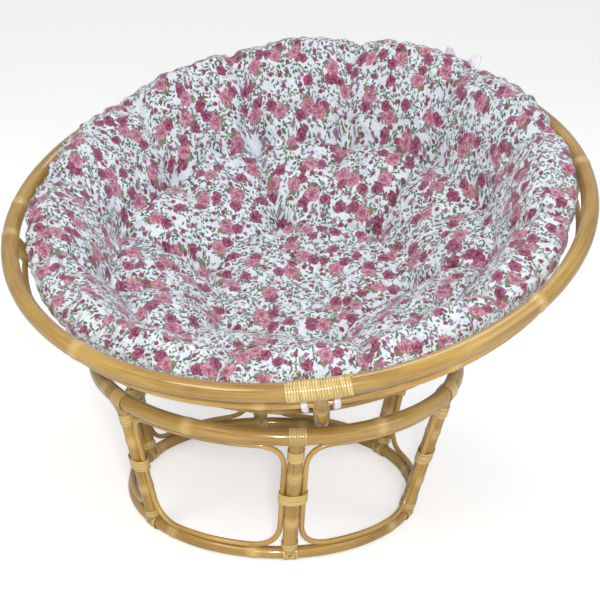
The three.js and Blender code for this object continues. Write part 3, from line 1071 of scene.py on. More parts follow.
        offset, chance = self.cells(s, wavy, self.pair_cell, 5.1)
        clump = self.turned(s, offset, chance, self.pink_radius, 2.2)
        reach = s.add("VectorMath", clump, out="Value", operation="LENGTH")
        ragged = s.add("TexNoise", wavy, None, 1 / self.clump_edge, 2, 0.6)
        reach = s.add("Math", ragged, self.clump_radius, reach, operation="MULTIPLY_ADD")
        edge = (self.clump_radius * 1.15, self.clump_radius * 1.25)
        inside = s.add("MapRange", reach, *edge, 0.9, 0)
        ink = s.add("MixRGB", ragged, self.green, self.olive)
        colour = s.add("MixRGB", inside, colour, ink)
        ink, inside = self.petals(s, wavy, offset, self.pink_radius, self.pink)
        colour = s.add("MixRGB", inside, colour, ink)
        beside = self.turned(s, offset, chance, 1.45 * self.pink_radius, 0)
        ink, inside = self.petals(s, wavy, beside, self.crimson_radius, self.crimson)
        colour = s.add("MixRGB", inside, colour, ink)

        scale = 1 / (WAVE_RATE * self.thread)
        along, across = (
            s.add("TexWave", place, scale, 0.4, bands_direction=axis) for axis in "XY"
        )
        weave = s.add("Math", along, across, operation="ADD")
        weave_bump = s.add("Bump", 0.12, self.thread_relief, None, weave)
        pucker = s.add("TexNoise", place, None, 1 / self.pucker, 3, 0.55)
        bump = s.add("Bump", 0.9, self.pucker_relief, None, pucker, weave_bump)
        gloss = {"Sheen_Weight": 0.25, "Sheen_Roughness": 0.5, "Specular_IOR_Level": 0.25}
        return s.dress(Base_Color=colour, Roughness=0.88, **gloss, Normal=bump)


@dataclass(frozen=True)
class Finishes:
    """The chair's finished materials."""

    pole: Material
    cane: Material
    peel: Material
    dowel: Material
    cotton: Material
    satin: Material


def keep(piece: Piece, material: Material, slot: Slot, body: Body, *nodes: str) -> None:
    """Args:
        piece: The piece.
        material: Its material.
        slot: The record's slot that the material stands for; not used.
        body: The body that it moves with.
        nodes: The solids that it stands for.
    """
    piece.data.materials.clear()
    piece.data.materials.append(material)
    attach(piece, body.value)
    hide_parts(*nodes)
    log.info("%s stands for %s", piece.name, ", ".join(nodes))


@dataclass
class Base:
    """The base: two rings, six leaning legs, a rounded lining cane in each panel, and
    the cane peel that binds their joints."""

    ring_pole: float = 30 * MM
    ring_radius: float = 336 * MM
    foot_pole: float = 23 * MM
    foot_radius: float = 270 * MM
    leg_pole: float = 27 * MM
    leg_saddle: float = 4 * MM
    leg_turn: float = -83.5
    leg_count: int = 6
    leg_stations: int = 40
    leg_knots: tuple[float, ...] = (-58 * MM, 47 * MM)
    cane: float = 10 * MM
    cane_corner: float = 52 * MM
    cane_step: float = 6 * MM
    corner_steps: int = 12
    clearance: float = 0.3 * MM
    strap_radius: float = 15.7 * MM
    strap_start: float = 157.7
    strap_sweep: float = 290.4
    strap_turns: int = 7
    wrap_pitch: float = 4.4 * MM
    top_wrap_turns: int = 5
    top_wrap_drop: float = 38 * MM
    mid_wrap_turns: int = 5
    mid_wrap_wide: float = 24.8 * MM
    foot_turns: int = 6
    foot_turn_radius: float = 12.4 * MM
    collar_turns: int = 3
    collar_start: float = 15.5 * MM
    ring_knots: tuple[float, ...] = (-116, -58, 74, 128)
    # The bowl's ribs slide over these
    flush_knots: tuple[float, ...] = (-152, -22, 28)
    foot_knots: tuple[float, ...] = (-131, -97, -38, 12, 77, 150)

    def __post_init__(self) -> None:
        """Takes the rings' heights from the frame and places the leg at azimuth 0."""
        self.home = base_placing()
        self.ring_height, self.foot_height = (
            sum(corner.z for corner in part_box(ring)) / 2 for ring in ("top_ring", "bottom_ring")
        )
        self.head = Vector((self.ring_radius, 0, self.ring_height))
        self.foot = Vector((self.foot_radius, 0, self.foot_height))
        self.slant = (self.head - self.foot).length
        self.axis = (self.head - self.foot).normalized()
        self.wrap_radius = self.leg_pole / 2 + self.clearance

    def station(self, index: int) -> Matrix:
        """Returns: the placing of what was made at azimuth 0 to one leg's station."""
        angle = math.radians(self.leg_turn) + TURN * index / self.leg_count
        return self.home @ Matrix.Rotation(angle, 4, "Z")

    def on_leg(self, drop: float) -> Matrix:
        """Returns: the placing along the leg, so far below its head."""
        return frame_of(self.head - self.axis * drop, self.axis, Y)

    def leg_tool(self) -> Piece:
        """Returns: a cutting bar as thick as the leg and a clearance."""
        placing = upright(self.on_leg(self.slant / 2))
        return bar_tool(self.leg_pole + 2 * self.clearance, self.slant, placing)

    def leg(self) -> Piece:
        """Returns: one leg at azimuth 0, its ends hollowed to sit on the rings."""
        length = self.slant - self.leg_saddle
        leg = added(
            bpy.ops.mesh.primitive_circle_add,
            "leg",
            vertices=Rattan.sides,
            radius=self.leg_pole / 2,
            location=(0, 0, -length / 2),
        )
        step = {"value": (0, 0, length / self.leg_stations)}
        with editing(leg):
            for _ in range(self.leg_stations):
                bpy.ops.mesh.extrude_edges_move(TRANSFORM_OT_translate=step)
        settle(leg)
        close_up(leg)
        grow(leg, BarCourse(), self.leg_knots)
        write_grain(leg, BarCourse(), self.leg_knots)
        leg.data.transform(upright(self.on_leg(length / 2)))
        gap = 2 * self.clearance
        cut(
            leg,
            ring_tool(self.ring_radius, self.ring_pole + gap, self.ring_height),
            ring_tool(self.foot_radius, self.foot_pole + gap, self.foot_height),
        )
        smooth(leg)
        return leg

    def lining_route(self) -> list[Vector]:
        """Returns: the lining cane's middle line, on the cone that the legs stand on."""
        half = math.pi / self.leg_count
        top = self.slant - (self.ring_pole + self.cane) / 2 - self.clearance
        bottom = (self.foot_pole + self.cane) / 2 + self.clearance
        beside = (self.leg_pole + self.cane) / 2 + self.clearance
        corner = self.cane_corner

        def radius(v: float) -> float:
            """Returns: the cone's radius, so far up the legs."""
            return self.foot_radius + (self.ring_radius - self.foot_radius) * v / self.slant

        def side(v: float) -> float:
            """Returns: the cane's half width, so far up the legs."""
            return radius(v) * half - beside

        low, high = side(bottom), side(top)
        bends = [
            ((low - corner, bottom), (low, bottom), (side(bottom + corner), bottom + corner)),
            ((side(top - corner), top - corner), (high, top), (high - corner, top)),
        ]
        bends += [tuple((-x, v) for x, v in reversed(bend)) for bend in reversed(bends)]
        flat: list[Spot] = []
        for first, middle, last in bends:
            if flat:
                flat += self.between(flat[-1], first)
            for share in np.linspace(0, 1, self.corner_steps):
                ends = (1 - share) ** 2 * np.array(first) + share**2 * np.array(last)
                flat.append(tuple(ends + 2 * share * (1 - share) * np.array(middle)))
        flat += self.between(flat[-1], flat[0])
        rise = self.axis.z
        return [
            outward(half + x / radius(v)) * radius(v) + Z * (self.foot_height + v * rise)
            for x, v in flat
        ]

    def between(self, start: Spot, end: Spot) -> list[Spot]:
        """Returns: evenly spaced places between two, without the two."""
        count = max(2, round(math.dist(start, end) / self.cane_step))
        return [tuple(place) for place in np.linspace(start, end, count + 1)[1:-1]]

    def lining(self) -> Piece:
        """Returns: one panel's lining cane, drawn along its route and made a mesh."""
        route = self.lining_route()
        curve = bpy.data.curves.new("lining", "CURVE")
        curve.dimensions = "3D"
        curve.bevel_depth = self.cane / 2
        curve.bevel_resolution = 3
        spline = curve.splines.new("POLY")
        spline.points.add(len(route) - 1)
        spline.use_cyclic_u = True
        for spot, place in zip(spline.points, route):
            spot.co = (*place, 1)
        lining = bpy.data.objects.new("lining", curve)
        bpy.context.scene.collection.objects.link(lining)
        choose(lining)
        bpy.ops.object.convert(target="MESH")
        lining = bpy.context.object
        close_up(lining)
        write_grain(lining, PathCourse(tuple(tuple(place) for place in route)))
        smooth(lining)
        return lining

    def strap(self) -> Piece:
        """Returns: the turns over the top ring, open on the side where the ribs run."""
        peel = CanePeel
        place = (self.strap_radius + peel.thickness / 2, 0, 0)
        strap = strip_section("strap", (peel.thickness, peel.width, 1), location=place)
        strap.data.transform(Matrix.Rotation(-math.radians(self.strap_start), 4, "Y"))
        spin(strap, peel.steps, math.radians(self.strap_sweep), Y)
        step = Y * self.wrap_pitch
        kind = {"use_relative_offset": False, "use_constant_offset": True}
        apply_modifier(
            strap, "ARRAY", count=self.strap_turns, **kind, constant_offset_displace=step
        )
        strap.data.transform(Matrix.Translation(-step * (self.strap_turns - 1) / 2))
        write_grain(strap, ArcCourse(self.strap_radius))
        strap.data.transform(Matrix.Translation(self.head))
        cut(strap, self.leg_tool())
        smooth(strap)
        return strap

    def leg_wrap(self, name: str, turns: int, drop: float, wide: float = 0) -> Piece:
        """Winds peel round the leg.

        Args:
            name: The winding's name.
            turns: Count of turns.
            drop: How far below the leg's head its middle is.
            wide: Its half width where it is oval, to hold the two canes as well.

        Returns:
            The winding.
        """
        wrap = wound_strip(name, self.wrap_radius, self.wrap_pitch, turns)
        if wide:
            reshape(wrap, oval(self.wrap_radius, wide, self.wrap_radius))
        wrap.data.transform(self.on_leg(drop))
        smooth(wrap)
        return wrap

    def foot_wrap(self) -> Piece:
        """Returns: the turns round the bottom ring and round the leg's foot."""
        pitch = self.wrap_pitch
        turns = wound_strip("foot_wrap", self.foot_turn_radius, pitch, self.foot_turns)
        turns.data.transform(frame_of(self.foot, Y, X))
        cut(turns, self.leg_tool())
        middle = self.collar_start + self.collar_turns * pitch / 2
        collar = self.leg_wrap("collar", self.collar_turns, self.slant - middle)
        choose(turns)
        collar.select_set(True)
        bpy.ops.object.join()
        smooth(turns)
        return turns

    def build(self, finishes: Finishes) -> None:
        """Makes the whole base.

        Args:
            finishes: The chair's materials.
        """
        top = RingCourse(self.ring_radius, self.ring_height)
        bottom = RingCourse(self.foot_radius, self.foot_height)
        for node, course, pole, knots, flush in (
            ("top_ring", top, self.ring_pole, self.ring_knots, self.flush_knots),
            ("bottom_ring", bottom, self.foot_pole, self.foot_knots, ()),
        ):
            ring = bent_ring(node, course, pole, knots, flush)
            ring.data.transform(self.home)
            keep(ring, finishes.pole, Slot.POLE, Body.BASE, node)
        top_wrap = self.leg_wrap("top_wrap", self.top_wrap_turns, self.top_wrap_drop)
        mid_drop = self.slant / 2
        mid_wrap = self.leg_wrap("mid_wrap", self.mid_wrap_turns, mid_drop, self.mid_wrap_wide)
        pole, cane = (finishes.pole, Slot.POLE), (finishes.cane, Slot.CANE)
        peel = (finishes.peel, Slot.PEEL)
        patterns = {
            "leg": (self.leg(), "pole", pole),
            "lining_cane": (self.lining(), "hoop", cane),
            "top_strap": (self.strap(), "turns", peel),
            "top_wrap": (top_wrap, "turns", peel),
            "mid_wrap": (mid_wrap, "turns", peel),
            "foot_wrap": (self.foot_wrap(), "turns", peel),
        }
        for node, (pattern, word, finish) in patterns.items():
            for index in range(self.leg_count):
                name = f"{node}_{index + 1}"
                piece = copy_of(pattern, f"{name}_{word}", self.station(index))
                self.vary(piece, index)
                keep(piece, *finish, Body.BASE, name)
            bpy.data.objects.remove(pattern)

    def vary(self, piece: Piece, index: int) -> None:
        """Shifts a copy's grain, so that no two copies look alike.

        Args:
            piece: The copy.
            index: Which copy it is.
        """
        grain = piece.data.attributes["grain"].data
        values = values_of(grain, "vector", 3, float)
        values[::3] += index
        grain.foreach_set("vector", values)


@dataclass
class Bowl:
    """The bowl's frame: the rim, two crossing ribs, three hoops, the winding over the
    rim's joint and the lashings where the ribs cross."""

    tilt: float = 16.2
    lean: float = 6.8
    turn: float = -85.7
    rim_pole: float = 32 * MM
    rim_radius: float = 534 * MM
    rise: float = 250 * MM
    rib_pole: float = 28 * MM
    rib_steps: int = 200
    upper_cane: float = 11 * MM
    upper_radius: float = 515 * MM
    upper_drop: float = 46 * MM
    inner_cane: float = 10 * MM
    middle_radius: float = 381 * MM
    lower_radius: float = 195 * MM
    clearance: float = 0.3 * MM
    dowel: float = 8 * MM
    dowel_length: float = 36 * MM
    binding_turns: int = 24
    binding_pitch: float = 4.4 * MM
    binding_lift: float = 0.7 * MM
    lashing_turns: int = 3
    # In widths of the peel
    lashing_pitch: float = 1.07
    lashing_margin: float = 1.6
    rim_knots: tuple[float, ...] = (-133, -41, 6, 62, 99, 137, 173, 184)
    rib_knots: tuple[float, ...] = (-51, -29, 9, 33, 57)
    hoop_knots: tuple[float, ...] = (-160, -97, -60, 20, 88, 140)
    inner_knots: tuple[float, ...] = (-160, -97, -60)

    def __post_init__(self) -> None:
        """Works out the sphere that the ribs lie on."""
        self.home = bowl_placing()
        self.sphere = math.hypot(self.rim_radius, self.rise)
        self.reach = math.atan2(self.rim_radius, self.rise)
        self.hoop_sphere = self.sphere - (self.rib_pole + self.inner_cane) / 2 - self.clearance
        self.rib_end = Vector((self.rim_radius, 0, -self.rise))
        self.front = math.radians(self.turn)

    def rib_turn(self, index: int) -> Matrix:
        """Returns: the turn from the XZ plane to one rib end's azimuth."""
        return Matrix.Rotation(self.front + index * math.pi / 2, 4, "Z")

    def dowel_tool(self, turn: Matrix) -> Piece:
        """Makes the cutting bar for the dowel that holds a rib's end.

        Args:
            turn: The turn from the XZ plane to that end.

        Returns:
            The tool.
        """
        down = Vector((-math.cos(self.reach), 0, -math.sin(self.reach)))
        placing = upright(frame_of(self.rib_end + down * self.rim_pole / 2, down, Y))
        gap = 2 * self.clearance
        tool = bar_tool(self.dowel + gap, self.dowel_length + gap, placing)
        tool.data.transform(turn)
        return tool

    def lap_tool(self, index: int) -> Piece:
        """Makes the block that takes a rib's upper or lower half where they cross.

        Args:
            index: 0 for the pole from front to back, 1 for the one across.

        Returns:
            The tool.
        """
        lap = self.rib_pole + 2 * self.clearance
        shift = (lap - self.clearance) / 2 * (1 - 2 * index)
        place = (0, 0, shift - self.sphere)
        return settle(added(bpy.ops.mesh.primitive_cube_add, "tool", size=lap, location=place))

    def binding_tool(self) -> Piece:
        """Returns: the room that the rim's winding takes from the front rib's end."""
        lift = self.binding_lift + CanePeel.thickness + 2 * self.clearance
        placing = upright(frame_of(self.rib_end, Y, Z))
        return bar_tool(self.rim_pole + 2 * lift, 3 * self.rib_pole, placing)

    def rib(self, node: str, index: int, material: Material) -> None:
        """Makes one rib pole, hollowed for the rim, holed for the hoop and half lapped.

        Args:
            node: The solid that it stands for.
            index: 0 for the pole from front to back, 1 for the one across.
            material: Its material.
        """
        rib = added(
            bpy.ops.mesh.primitive_circle_add,
            f"{node}_pole",
            vertices=Rattan.sides,
            radius=self.rib_pole / 2,
            location=(0, 0, -self.sphere),
            rotation=(0, math.pi / 2, 0),
        )
        settle(rib).data.transform(Matrix.Rotation(self.reach, 4, "Y"))
        spin(rib, self.rib_steps, 2 * self.reach, Y)
        course = ArcCourse(self.sphere)
        # Its knots are sanded flush, because it slides on the base's top ring
        grow(rib, course, ())
        gap = 2 * self.clearance
        tools = [
            ring_tool(self.rim_radius, self.rim_pole + gap, -self.rise),
            ring_tool(self.upper_radius, self.upper_cane + gap, -self.rise - self.upper_drop),
            self.lap_tool(index),
        ]
        for end in (index, index + 2):
            turn = Matrix.Rotation((end - index) * math.pi / 2, 4, "Z")
            tools.append(self.dowel_tool(turn) if end else self.binding_tool())
        cut(rib, *tools)
        knots = [math.radians(knot) * self.sphere for knot in self.rib_knots]
        write_grain(rib, course, knots, start=index)
        smooth(rib)
        rib.data.transform(self.home @ self.rib_turn(index))
        keep(rib, material, Slot.POLE, Body.BOWL, node)

    def binding(self, material: Material) -> None:
        """Makes the winding over the rim's joint, wound straight and bent to the rim.

        Args:
            material: The peel's material.
        """
        radius = self.rim_pole / 2 + self.binding_lift
        turns = (self.binding_pitch, self.binding_turns)
        winding = wound_strip("rim_binding_turns", radius, *turns)
        along = points_of(winding)[:, 0]
        angle = float(along.max() - along.min()) / self.rim_radius
        bend = {"deform_method": "BEND", "deform_axis": "Z", "angle": angle}
        apply_modifier(winding, "SIMPLE_DEFORM", **bend)
        smooth(winding)
        middle = outward(self.front) * self.rim_radius - Z * self.rise
        placing = Matrix.Translation(middle) @ self.rib_turn(1)
        winding.data.transform(self.home @ placing)
        keep(winding, material, Slot.PEEL, Body.BOWL, "rim_binding")

    def lashing(self, layer: int, material: Material) -> None:
        """Makes one of the two lashings that cross where the ribs do.

        Args:
            layer: 0 for the inner one, 1 for the one over it.
            material: The peel's material.
        """
        peel = CanePeel
        lift = layer * (peel.thickness + 2 * self.clearance)
        wide = self.rib_pole + peel.width * self.lashing_margin + lift
        deep = self.rib_pole / 2 + peel.thickness + 2 * self.clearance + lift
        node = f"centre_lashing_{layer + 1}"
        pitch = peel.width * self.lashing_pitch
        winding = wound_strip(f"{node}_turns", deep, pitch, self.lashing_turns)
        reshape(winding, oval(deep, wide, deep))
        diagonal = self.front + math.pi / 4 + layer * math.pi / 2
        placing = frame_of(
            Z * -self.sphere, outward(diagonal + math.pi / 2), outward(diagonal)
        )
        smooth(winding)
        winding.data.transform(self.home @ placing)
        keep(winding, material, Slot.PEEL, Body.BOWL, node)

    def build(self, finishes: Finishes) -> None:
        """Makes the bowl's whole frame.

        Args:
            finishes: The chair's materials.
        """
        pole, cane = (finishes.pole, Slot.POLE), (finishes.cane, Slot.CANE)
        rim = RingCourse(self.rim_radius, -self.rise, self.front)
        upper = RingCourse(self.upper_radius, -self.rise - self.upper_drop, self.front)
        middle, lower = (
            RingCourse(radius, -math.sqrt(self.hoop_sphere**2 - radius**2))
            for radius in (self.middle_radius, self.lower_radius)
        )
        ends = [self.dowel_tool(self.rib_turn(end)) for end in (1, 2, 3)]
        for node, course, width, knots, finish, tools in (
            ("rim", rim, self.rim_pole, self.rim_knots, pole, ends),
            ("upper_hoop", upper, self.upper_cane, self.hoop_knots, cane, ()),
            ("middle_hoop", middle, self.inner_cane, self.inner_knots, cane, ()),
            ("lower_hoop", lower, self.inner_cane, self.inner_knots, cane, ()),
        ):
            ring = bent_ring(node, course, width, knots, tools=tools)
            ring.data.transform(self.home)
            keep(ring, *finish, Body.BOWL, node)
        self.rib("rib_front_back", 0, finishes.pole)
        self.rib("rib_left_right", 1, finishes.pole)
        self.binding(finishes.peel)
        self.lashing(0, finishes.peel)
        self.lashing(1, finishes.peel)
        for end in (1, 2, 3):
            dowel = frame["nodes"][f"rib_dowel_{end}"]
            dowel.data.materials.clear()
            dowel.data.materials.append(finishes.dowel)


@dataclass
class Cushion:
    """The cushion: a quilted round pad that lies in the bowl, buttoned in two rings,
    with a puffed pad in the middle, a band of lobes and a fuller band at the edge."""

    edge_radius: float = 499 * MM
    edge_height: float = 10 * MM
    roll: float = 46 * MM
    sphere: float = 564.3 * MM
    tuft_floor: float = -203 * MM
    tuft_rise: float = 211 * MM
    back_reach: float = 26 * MM
    back_lift: float = 35 * MM
    front_drop: float = 18 * MM
    outer_tufts: float = 365 * MM
    inner_tufts: float = 205 * MM
    outer_puff: float = 66 * MM
    middle_puff: float = 30 * MM
    centre_puff: float = 28 * MM
    crease_draw: float = 6 * MM
    crease_fill: float = 0.7
    crease_power: float = 0.5
    lean_power: float = 1.6
    lean_turn: float = 15
    crown_power: int = 4
    lobes: int = 12
    first_tuft: float = 15
    # The skin's density, and how its rows are shared out from the foot to the top
    columns: int = 300
    rows: int = 146
    underside_share: float = 0.36
    low_roll_share: float = 0.44
    high_roll_share: float = 0.52
    # The sewn creases, how deep each kind is, and the wrinkles that they pull
    groove: float = 14 * MM
    groove_width: float = 8 * MM
    spoke_depth: float = 1.0
    inner_depth: float = 0.8
    outer_depth: float = 0.5
    link_depth: float = 0.9
    tuft_depth: float = 20 * MM
    tuft_width: float = 17 * MM
    wrinkle: float = 4.6 * MM
    wrinkle_reach: float = 50 * MM
    wrinkle_count: int = 11
    # The gathers along the edge's seam, and how unevenly they lie
    gather: float = 2.8 * MM
    gather_count: int = 84
    gather_share: float = 0.07
    gather_sway: float = 3
    gather_sways: int = 7
    # The cloth, cut a little large and blown out between the tufts
    spare_cloth: float = 0.06
    pressure: float = 4.0
    bending: float = 0.3
    frames: int = 16
    seat_cap: float = 15 * MM
    edge_cap: float = 5 * MM
    cap_share: float = 0.06
    lump: float = 9 * MM
    lump_length: float = 75 * MM
    rumple: float = 5.5 * MM
    rumple_length: float = 22 * MM

    def fullness(self, azimuth: Points, lobes: int, first: float) -> Points:
        """Works out how full the cushion is between its creases.

        Args:
            azimuth: Azimuths in radians.
            lobes: Count of lobes.
            first: The first crease's azimuth in degrees.

        Returns:
            0 in a crease and 1 midway between two.
        """
        wave = np.sin((azimuth - math.radians(first)) * lobes / 2)
        return np.abs(wave) ** self.crease_power

    def crown(self, azimuth: Points) -> tuple[Points, Points, Points]:
        """Works out the edge at each azimuth.

        Args:
            azimuth: Azimuths in radians.

        Returns:
            The edge's reach, the crown's radius and the lift of the edge.
        """
        back = ((1 + np.sin(azimuth + math.radians(self.lean_turn))) / 2) ** self.lean_power
        front = ((1 - np.sin(azimuth)) / 2) ** self.lean_power
        lift = self.back_lift * back - self.front_drop * front
        full = self.fullness(azimuth, self.lobes, self.first_tuft)
        reach = self.edge_radius + self.back_reach * back - self.crease_draw * (1 - full)
        return reach, reach - self.roll, lift

    def seat(self, radius: Points, azimuth: Points) -> Points:
        """Works out the seat's height over the rim's plane, inside the crown.

        Args:
            radius: Distances from the middle.
            azimuth: Azimuths in radians.

        Returns:
            The heights.
        """
        _, crown, lift = self.crown(azimuth)
        height = self.tuft_floor + self.tuft_rise * (radius / self.edge_radius) ** 2
        height = height + lift * (radius / crown) ** self.crown_power
        outer = self.fullness(azimuth, self.lobes, self.first_tuft)
        inner = self.fullness(azimuth, self.lobes // 2, 3 * self.first_tuft)

        def bump(low: float | Points, high: float | Points) -> Points:
            """Returns: 0 at both radii, and 1 midway between them."""
            return np.sin(math.pi * ramp(radius, low, high))

        share = ramp(radius, self.inner_tufts, self.outer_tufts)
        share = share * share * (3 - 2 * share)
        middle = inner + (outer - inner) * share
        height = height + self.centre_puff * bump(-self.inner_tufts, self.inner_tufts)
        height = height + self.middle_puff * middle * bump(self.inner_tufts, self.outer_tufts)
        edge = self.crease_fill + (1 - self.crease_fill) * outer
        puff = self.outer_puff * edge * bump(self.outer_tufts, 2 * crown - self.outer_tufts)
        return height + np.where(radius > self.outer_tufts, puff, 0)

    def tufts(self) -> tuple[list[complex], list[complex]]:
        """Returns: the places of the outer and the inner tufts, seen from above."""
        step = TURN / self.lobes
        first = math.radians(self.first_tuft)
        outer = [first + k * step for k in range(self.lobes)]
        inner = [3 * first + 2 * k * step for k in range(self.lobes // 2)]
        return (
            [self.outer_tufts * np.exp(1j * azimuth) for azimuth in outer],
            [self.inner_tufts * np.exp(1j * azimuth) for azimuth in inner],
        )

    def sewn(self, spots: Points) -> Points:
        """Works out how far the sewing draws the seat down.

        Args:
            spots: Places on the seat, as complex numbers.

        Returns:
            The depths.
        """
        outer, inner = self.tufts()
        far = self.edge_radius / self.outer_tufts
        lines = [(place, place * far, self.spoke_depth) for place in outer]
        for ring, share in ((inner, self.inner_depth), (outer, self.outer_depth)):
            lines += [(ring[k - 1], ring[k], share) for k in range(len(ring))]
        lines += [(inner[k], outer[2 * k + 1], self.link_depth) for k in range(len(inner))]
        depth = np.zeros(len(spots))
        for start, end, share in lines:
            way = end - start
            along = np.clip(((spots - start) * np.conj(way)).real / abs(way) ** 2, 0, 1)
            apart = np.abs(spots - start - along * way)
            depth = np.maximum(depth, share * self.groove * np.exp(-apart / self.groove_width))
        for index, tuft in enumerate(outer + inner):
            apart = np.abs(spots - tuft)
            depth += self.tuft_depth * np.exp(-((apart / self.tuft_width) ** 2))
            wave = np.cos(self.wrinkle_count * np.angle(spots - tuft) + index)
            near = np.exp(-apart / self.wrinkle_reach) * (1 - np.exp(-apart / self.tuft_width))
            depth += self.wrinkle * wave * near
        return depth

    def polar(self, points: Points) -> tuple[Points, Points]:
        """Returns: points' azimuths on a unit ball, and their ways up it, 0 to 1."""
        way = np.arccos(np.clip(-points[:, 2], -1, 1)) / math.pi
        return np.arctan2(points[:, 1], points[:, 0]), way

    def rise_of(self, radius: Points | float) -> Points | float:
        """Returns: the underside's height over the rim's plane."""
        return Bowl.rise - np.sqrt(self.sphere**2 - radius**2)

    def skin(self, points: Points) -> Points:
        """Places the points of a unit ball on the cushion, in the bowl's frame.

        Args:
            points: Points of the unit ball.

        Returns:
            Their places.
        """
        azimuth, way = self.polar(points)
        reach, crown, lift = self.crown(azimuth)
        height = self.edge_height + lift
        # The underside lies on the bowl's sphere
        rest = self.edge_radius - self.roll
        under = ramp(way, 0, self.underside_share) * rest
        # A bend leads from it to the edge
        turn = ramp(way, self.underside_share, self.low_roll_share)
        slope = np.array((math.sqrt(self.sphere**2 - rest**2), rest)) / self.sphere
        foot = self.rise_of(rest)
        bends = (
            (rest, foot),
            (rest + self.roll * slope[0], foot + self.roll * slope[1]),
            (reach, height - self.roll),
            (reach, height),
        )
        weights = ((1 - turn) ** 3, 3 * turn * (1 - turn) ** 2, 3 * turn**2 * (1 - turn), turn**3)
        bend = [sum(w * b[axis] for w, b in zip(weights, bends)) for axis in (0, 1)]
        # The edge rolls over to the crown, and the seat lies inside it
        rolled = ramp(way, self.low_roll_share, self.high_roll_share) * math.pi / 2
        top = self.seat(crown, azimuth)
        inward = crown * (1 - ramp(way, self.high_roll_share, 1))
        shares = (self.underside_share, self.low_roll_share, self.high_roll_share)
        zones = [way <= share for share in shares]
        rolling = crown + self.roll * np.cos(rolled)
        radius = np.select(zones, (under, bend[0], rolling), inward)
        rolling = height + (top - height) * np.sin(rolled)
        seat = self.seat(inward, azimuth)
        level = np.select(zones, (self.rise_of(under), bend[1], rolling), seat)
        spots = radius * np.exp(1j * azimuth)
        level = level - np.where(way > self.low_roll_share, self.sewn(spots), 0)
        window = np.exp(-(((way - self.low_roll_share) / self.gather_share) ** 2))
        sway = self.gather_sway * np.sin(self.gather_sways * azimuth)
        radius = radius + self.gather * np.cos(self.gather_count * azimuth + sway) * window
        x, y = radius * np.cos(azimuth), radius * np.sin(azimuth)
        return np.stack([x, y, level - Bowl.rise], 1)

    def unroll(self, piece: Piece, way: Points, azimuth: Points) -> None:
        """Lays the print on the cloth: one cut for the seat and one for the underside.

        Args:
            piece: The cushion.
            way: Each vertex's way from the underside's middle to the seat's, 0 to 1.
            azimuth: Each vertex's azimuth in radians.
        """
        points = points_of(piece)
        row = way * self.rows
        bins = np.round(row).astype(int)
        total = np.bincount(bins, minlength=self.rows + 1).clip(1)
        radius, height = (
            np.bincount(bins, values, self.rows + 1) / total
            for values in (np.hypot(points[:, 0], points[:, 1]), points[:, 2])
        )
        length = np.concatenate([[0], np.cumsum(np.hypot(np.diff(radius), np.diff(height)))])
        reach_low = np.interp(row, np.arange(self.rows + 1), length)
        reach_high = length[-1] - reach_low
        mesh = piece.data
        vertex = values_of(mesh.loops, "vertex_index")
        first, count = (values_of(mesh.polygons, name) for name in ("loop_start", "loop_total"))
        middle = np.add.reduceat(way[vertex], first) / count
        below = np.repeat(middle < self.low_roll_share, count)
        reach = np.where(below, reach_low[vertex], reach_high[vertex])
        # The underside's cut lies two metres to the side of the seat's
        u = reach * np.cos(azimuth[vertex]) + np.where(below, 2, 0)
        v = reach * np.sin(azimuth[vertex])
        while mesh.uv_layers:
            mesh.uv_layers.remove(mesh.uv_layers[0])
        layer = mesh.uv_layers.new(name="print")
        layer.data.foreach_set("uv", np.stack([u, v], 1).ravel())

    def fill_out(self, cushion: Piece, way: Points, sewn: Points) -> None:
        """Simulates the filling: pressure blows the spare cloth out between the tufts.

        Args:
            cushion: The cushion.
            way: Each vertex's way from the underside's middle to the seat's, 0 to 1.
            sewn: Each vertex's place before the filling.
        """
        outer, inner = self.tufts()
        spots = sewn[:, 0] + 1j * sewn[:, 1]
        near = np.min([np.abs(spots - tuft) for tuft in outer + inner], axis=0)
        held = np.where(way < self.low_roll_share, 1.0, np.exp(-((near / self.tuft_width) ** 2)))
        weigh(cushion, "held", held, LEAST_WEIGHT)
        choose(cushion)
        bpy.ops.object.modifier_add(type="CLOTH")
        cloth = cushion.modifiers[-1]
        cloth.point_cache.frame_end = self.frames
        settings = cloth.settings
        settings.vertex_group_mass = "held"
        settings.use_pressure = True
        settings.uniform_pressure_force = self.pressure
        settings.shrink_min = -self.spare_cloth
        settings.bending_stiffness = self.bending
        settings.effector_weights.gravity = 0
        cloth.collision_settings.use_collision = False
        for number in range(1, self.frames + 1):
            bpy.context.scene.frame_set(number)
        bpy.ops.object.modifier_apply(modifier=cloth.name)
        moved = points_of(cushion) - sewn
        far = np.linalg.norm(moved, axis=1).clip(MM * MM)
        shares = (self.low_roll_share, self.high_roll_share + self.cap_share)
        cap = np.interp(way, shares, (self.edge_cap, self.seat_cap))
        share = cap * np.tanh(far / cap) / far
        reshape(cushion, lambda points: sewn + moved * share[:, None])
        bpy.context.scene.frame_set(1)
        log.info("the filling moved the cloth by up to %.0f mm", far.max() / MM)

    def build(self, finishes: Finishes) -> None:
        """Makes the cushion.

        Args:
            finishes: The chair's materials.
        """
        size = {"segments": self.columns, "ring_count": self.rows, "radius": 1}
        cushion = added(bpy.ops.mesh.primitive_uv_sphere_add, "cushion_cover", **size)
        azimuth, way = self.polar(points_of(cushion))
        reshape(cushion, self.skin)
        self.unroll(cushion, way, azimuth)
        weigh(cushion, "free", ramp(way, self.underside_share, self.low_roll_share), 0)
        roughen(cushion, "lumps", self.lump, self.lump_length, "free")
        self.fill_out(cushion, way, points_of(cushion))
        with editing(cushion):
            bpy.ops.mesh.subdivide(number_cuts=1, smoothness=1)
        roughen(cushion, "rumples", self.rumple, self.rumple_length, "free")
        cushion.data.transform(bowl_placing())
        bpy.ops.object.shade_smooth()
        keep(cushion, finishes.cotton, Slot.PRINT, Body.BOWL, "cushion")


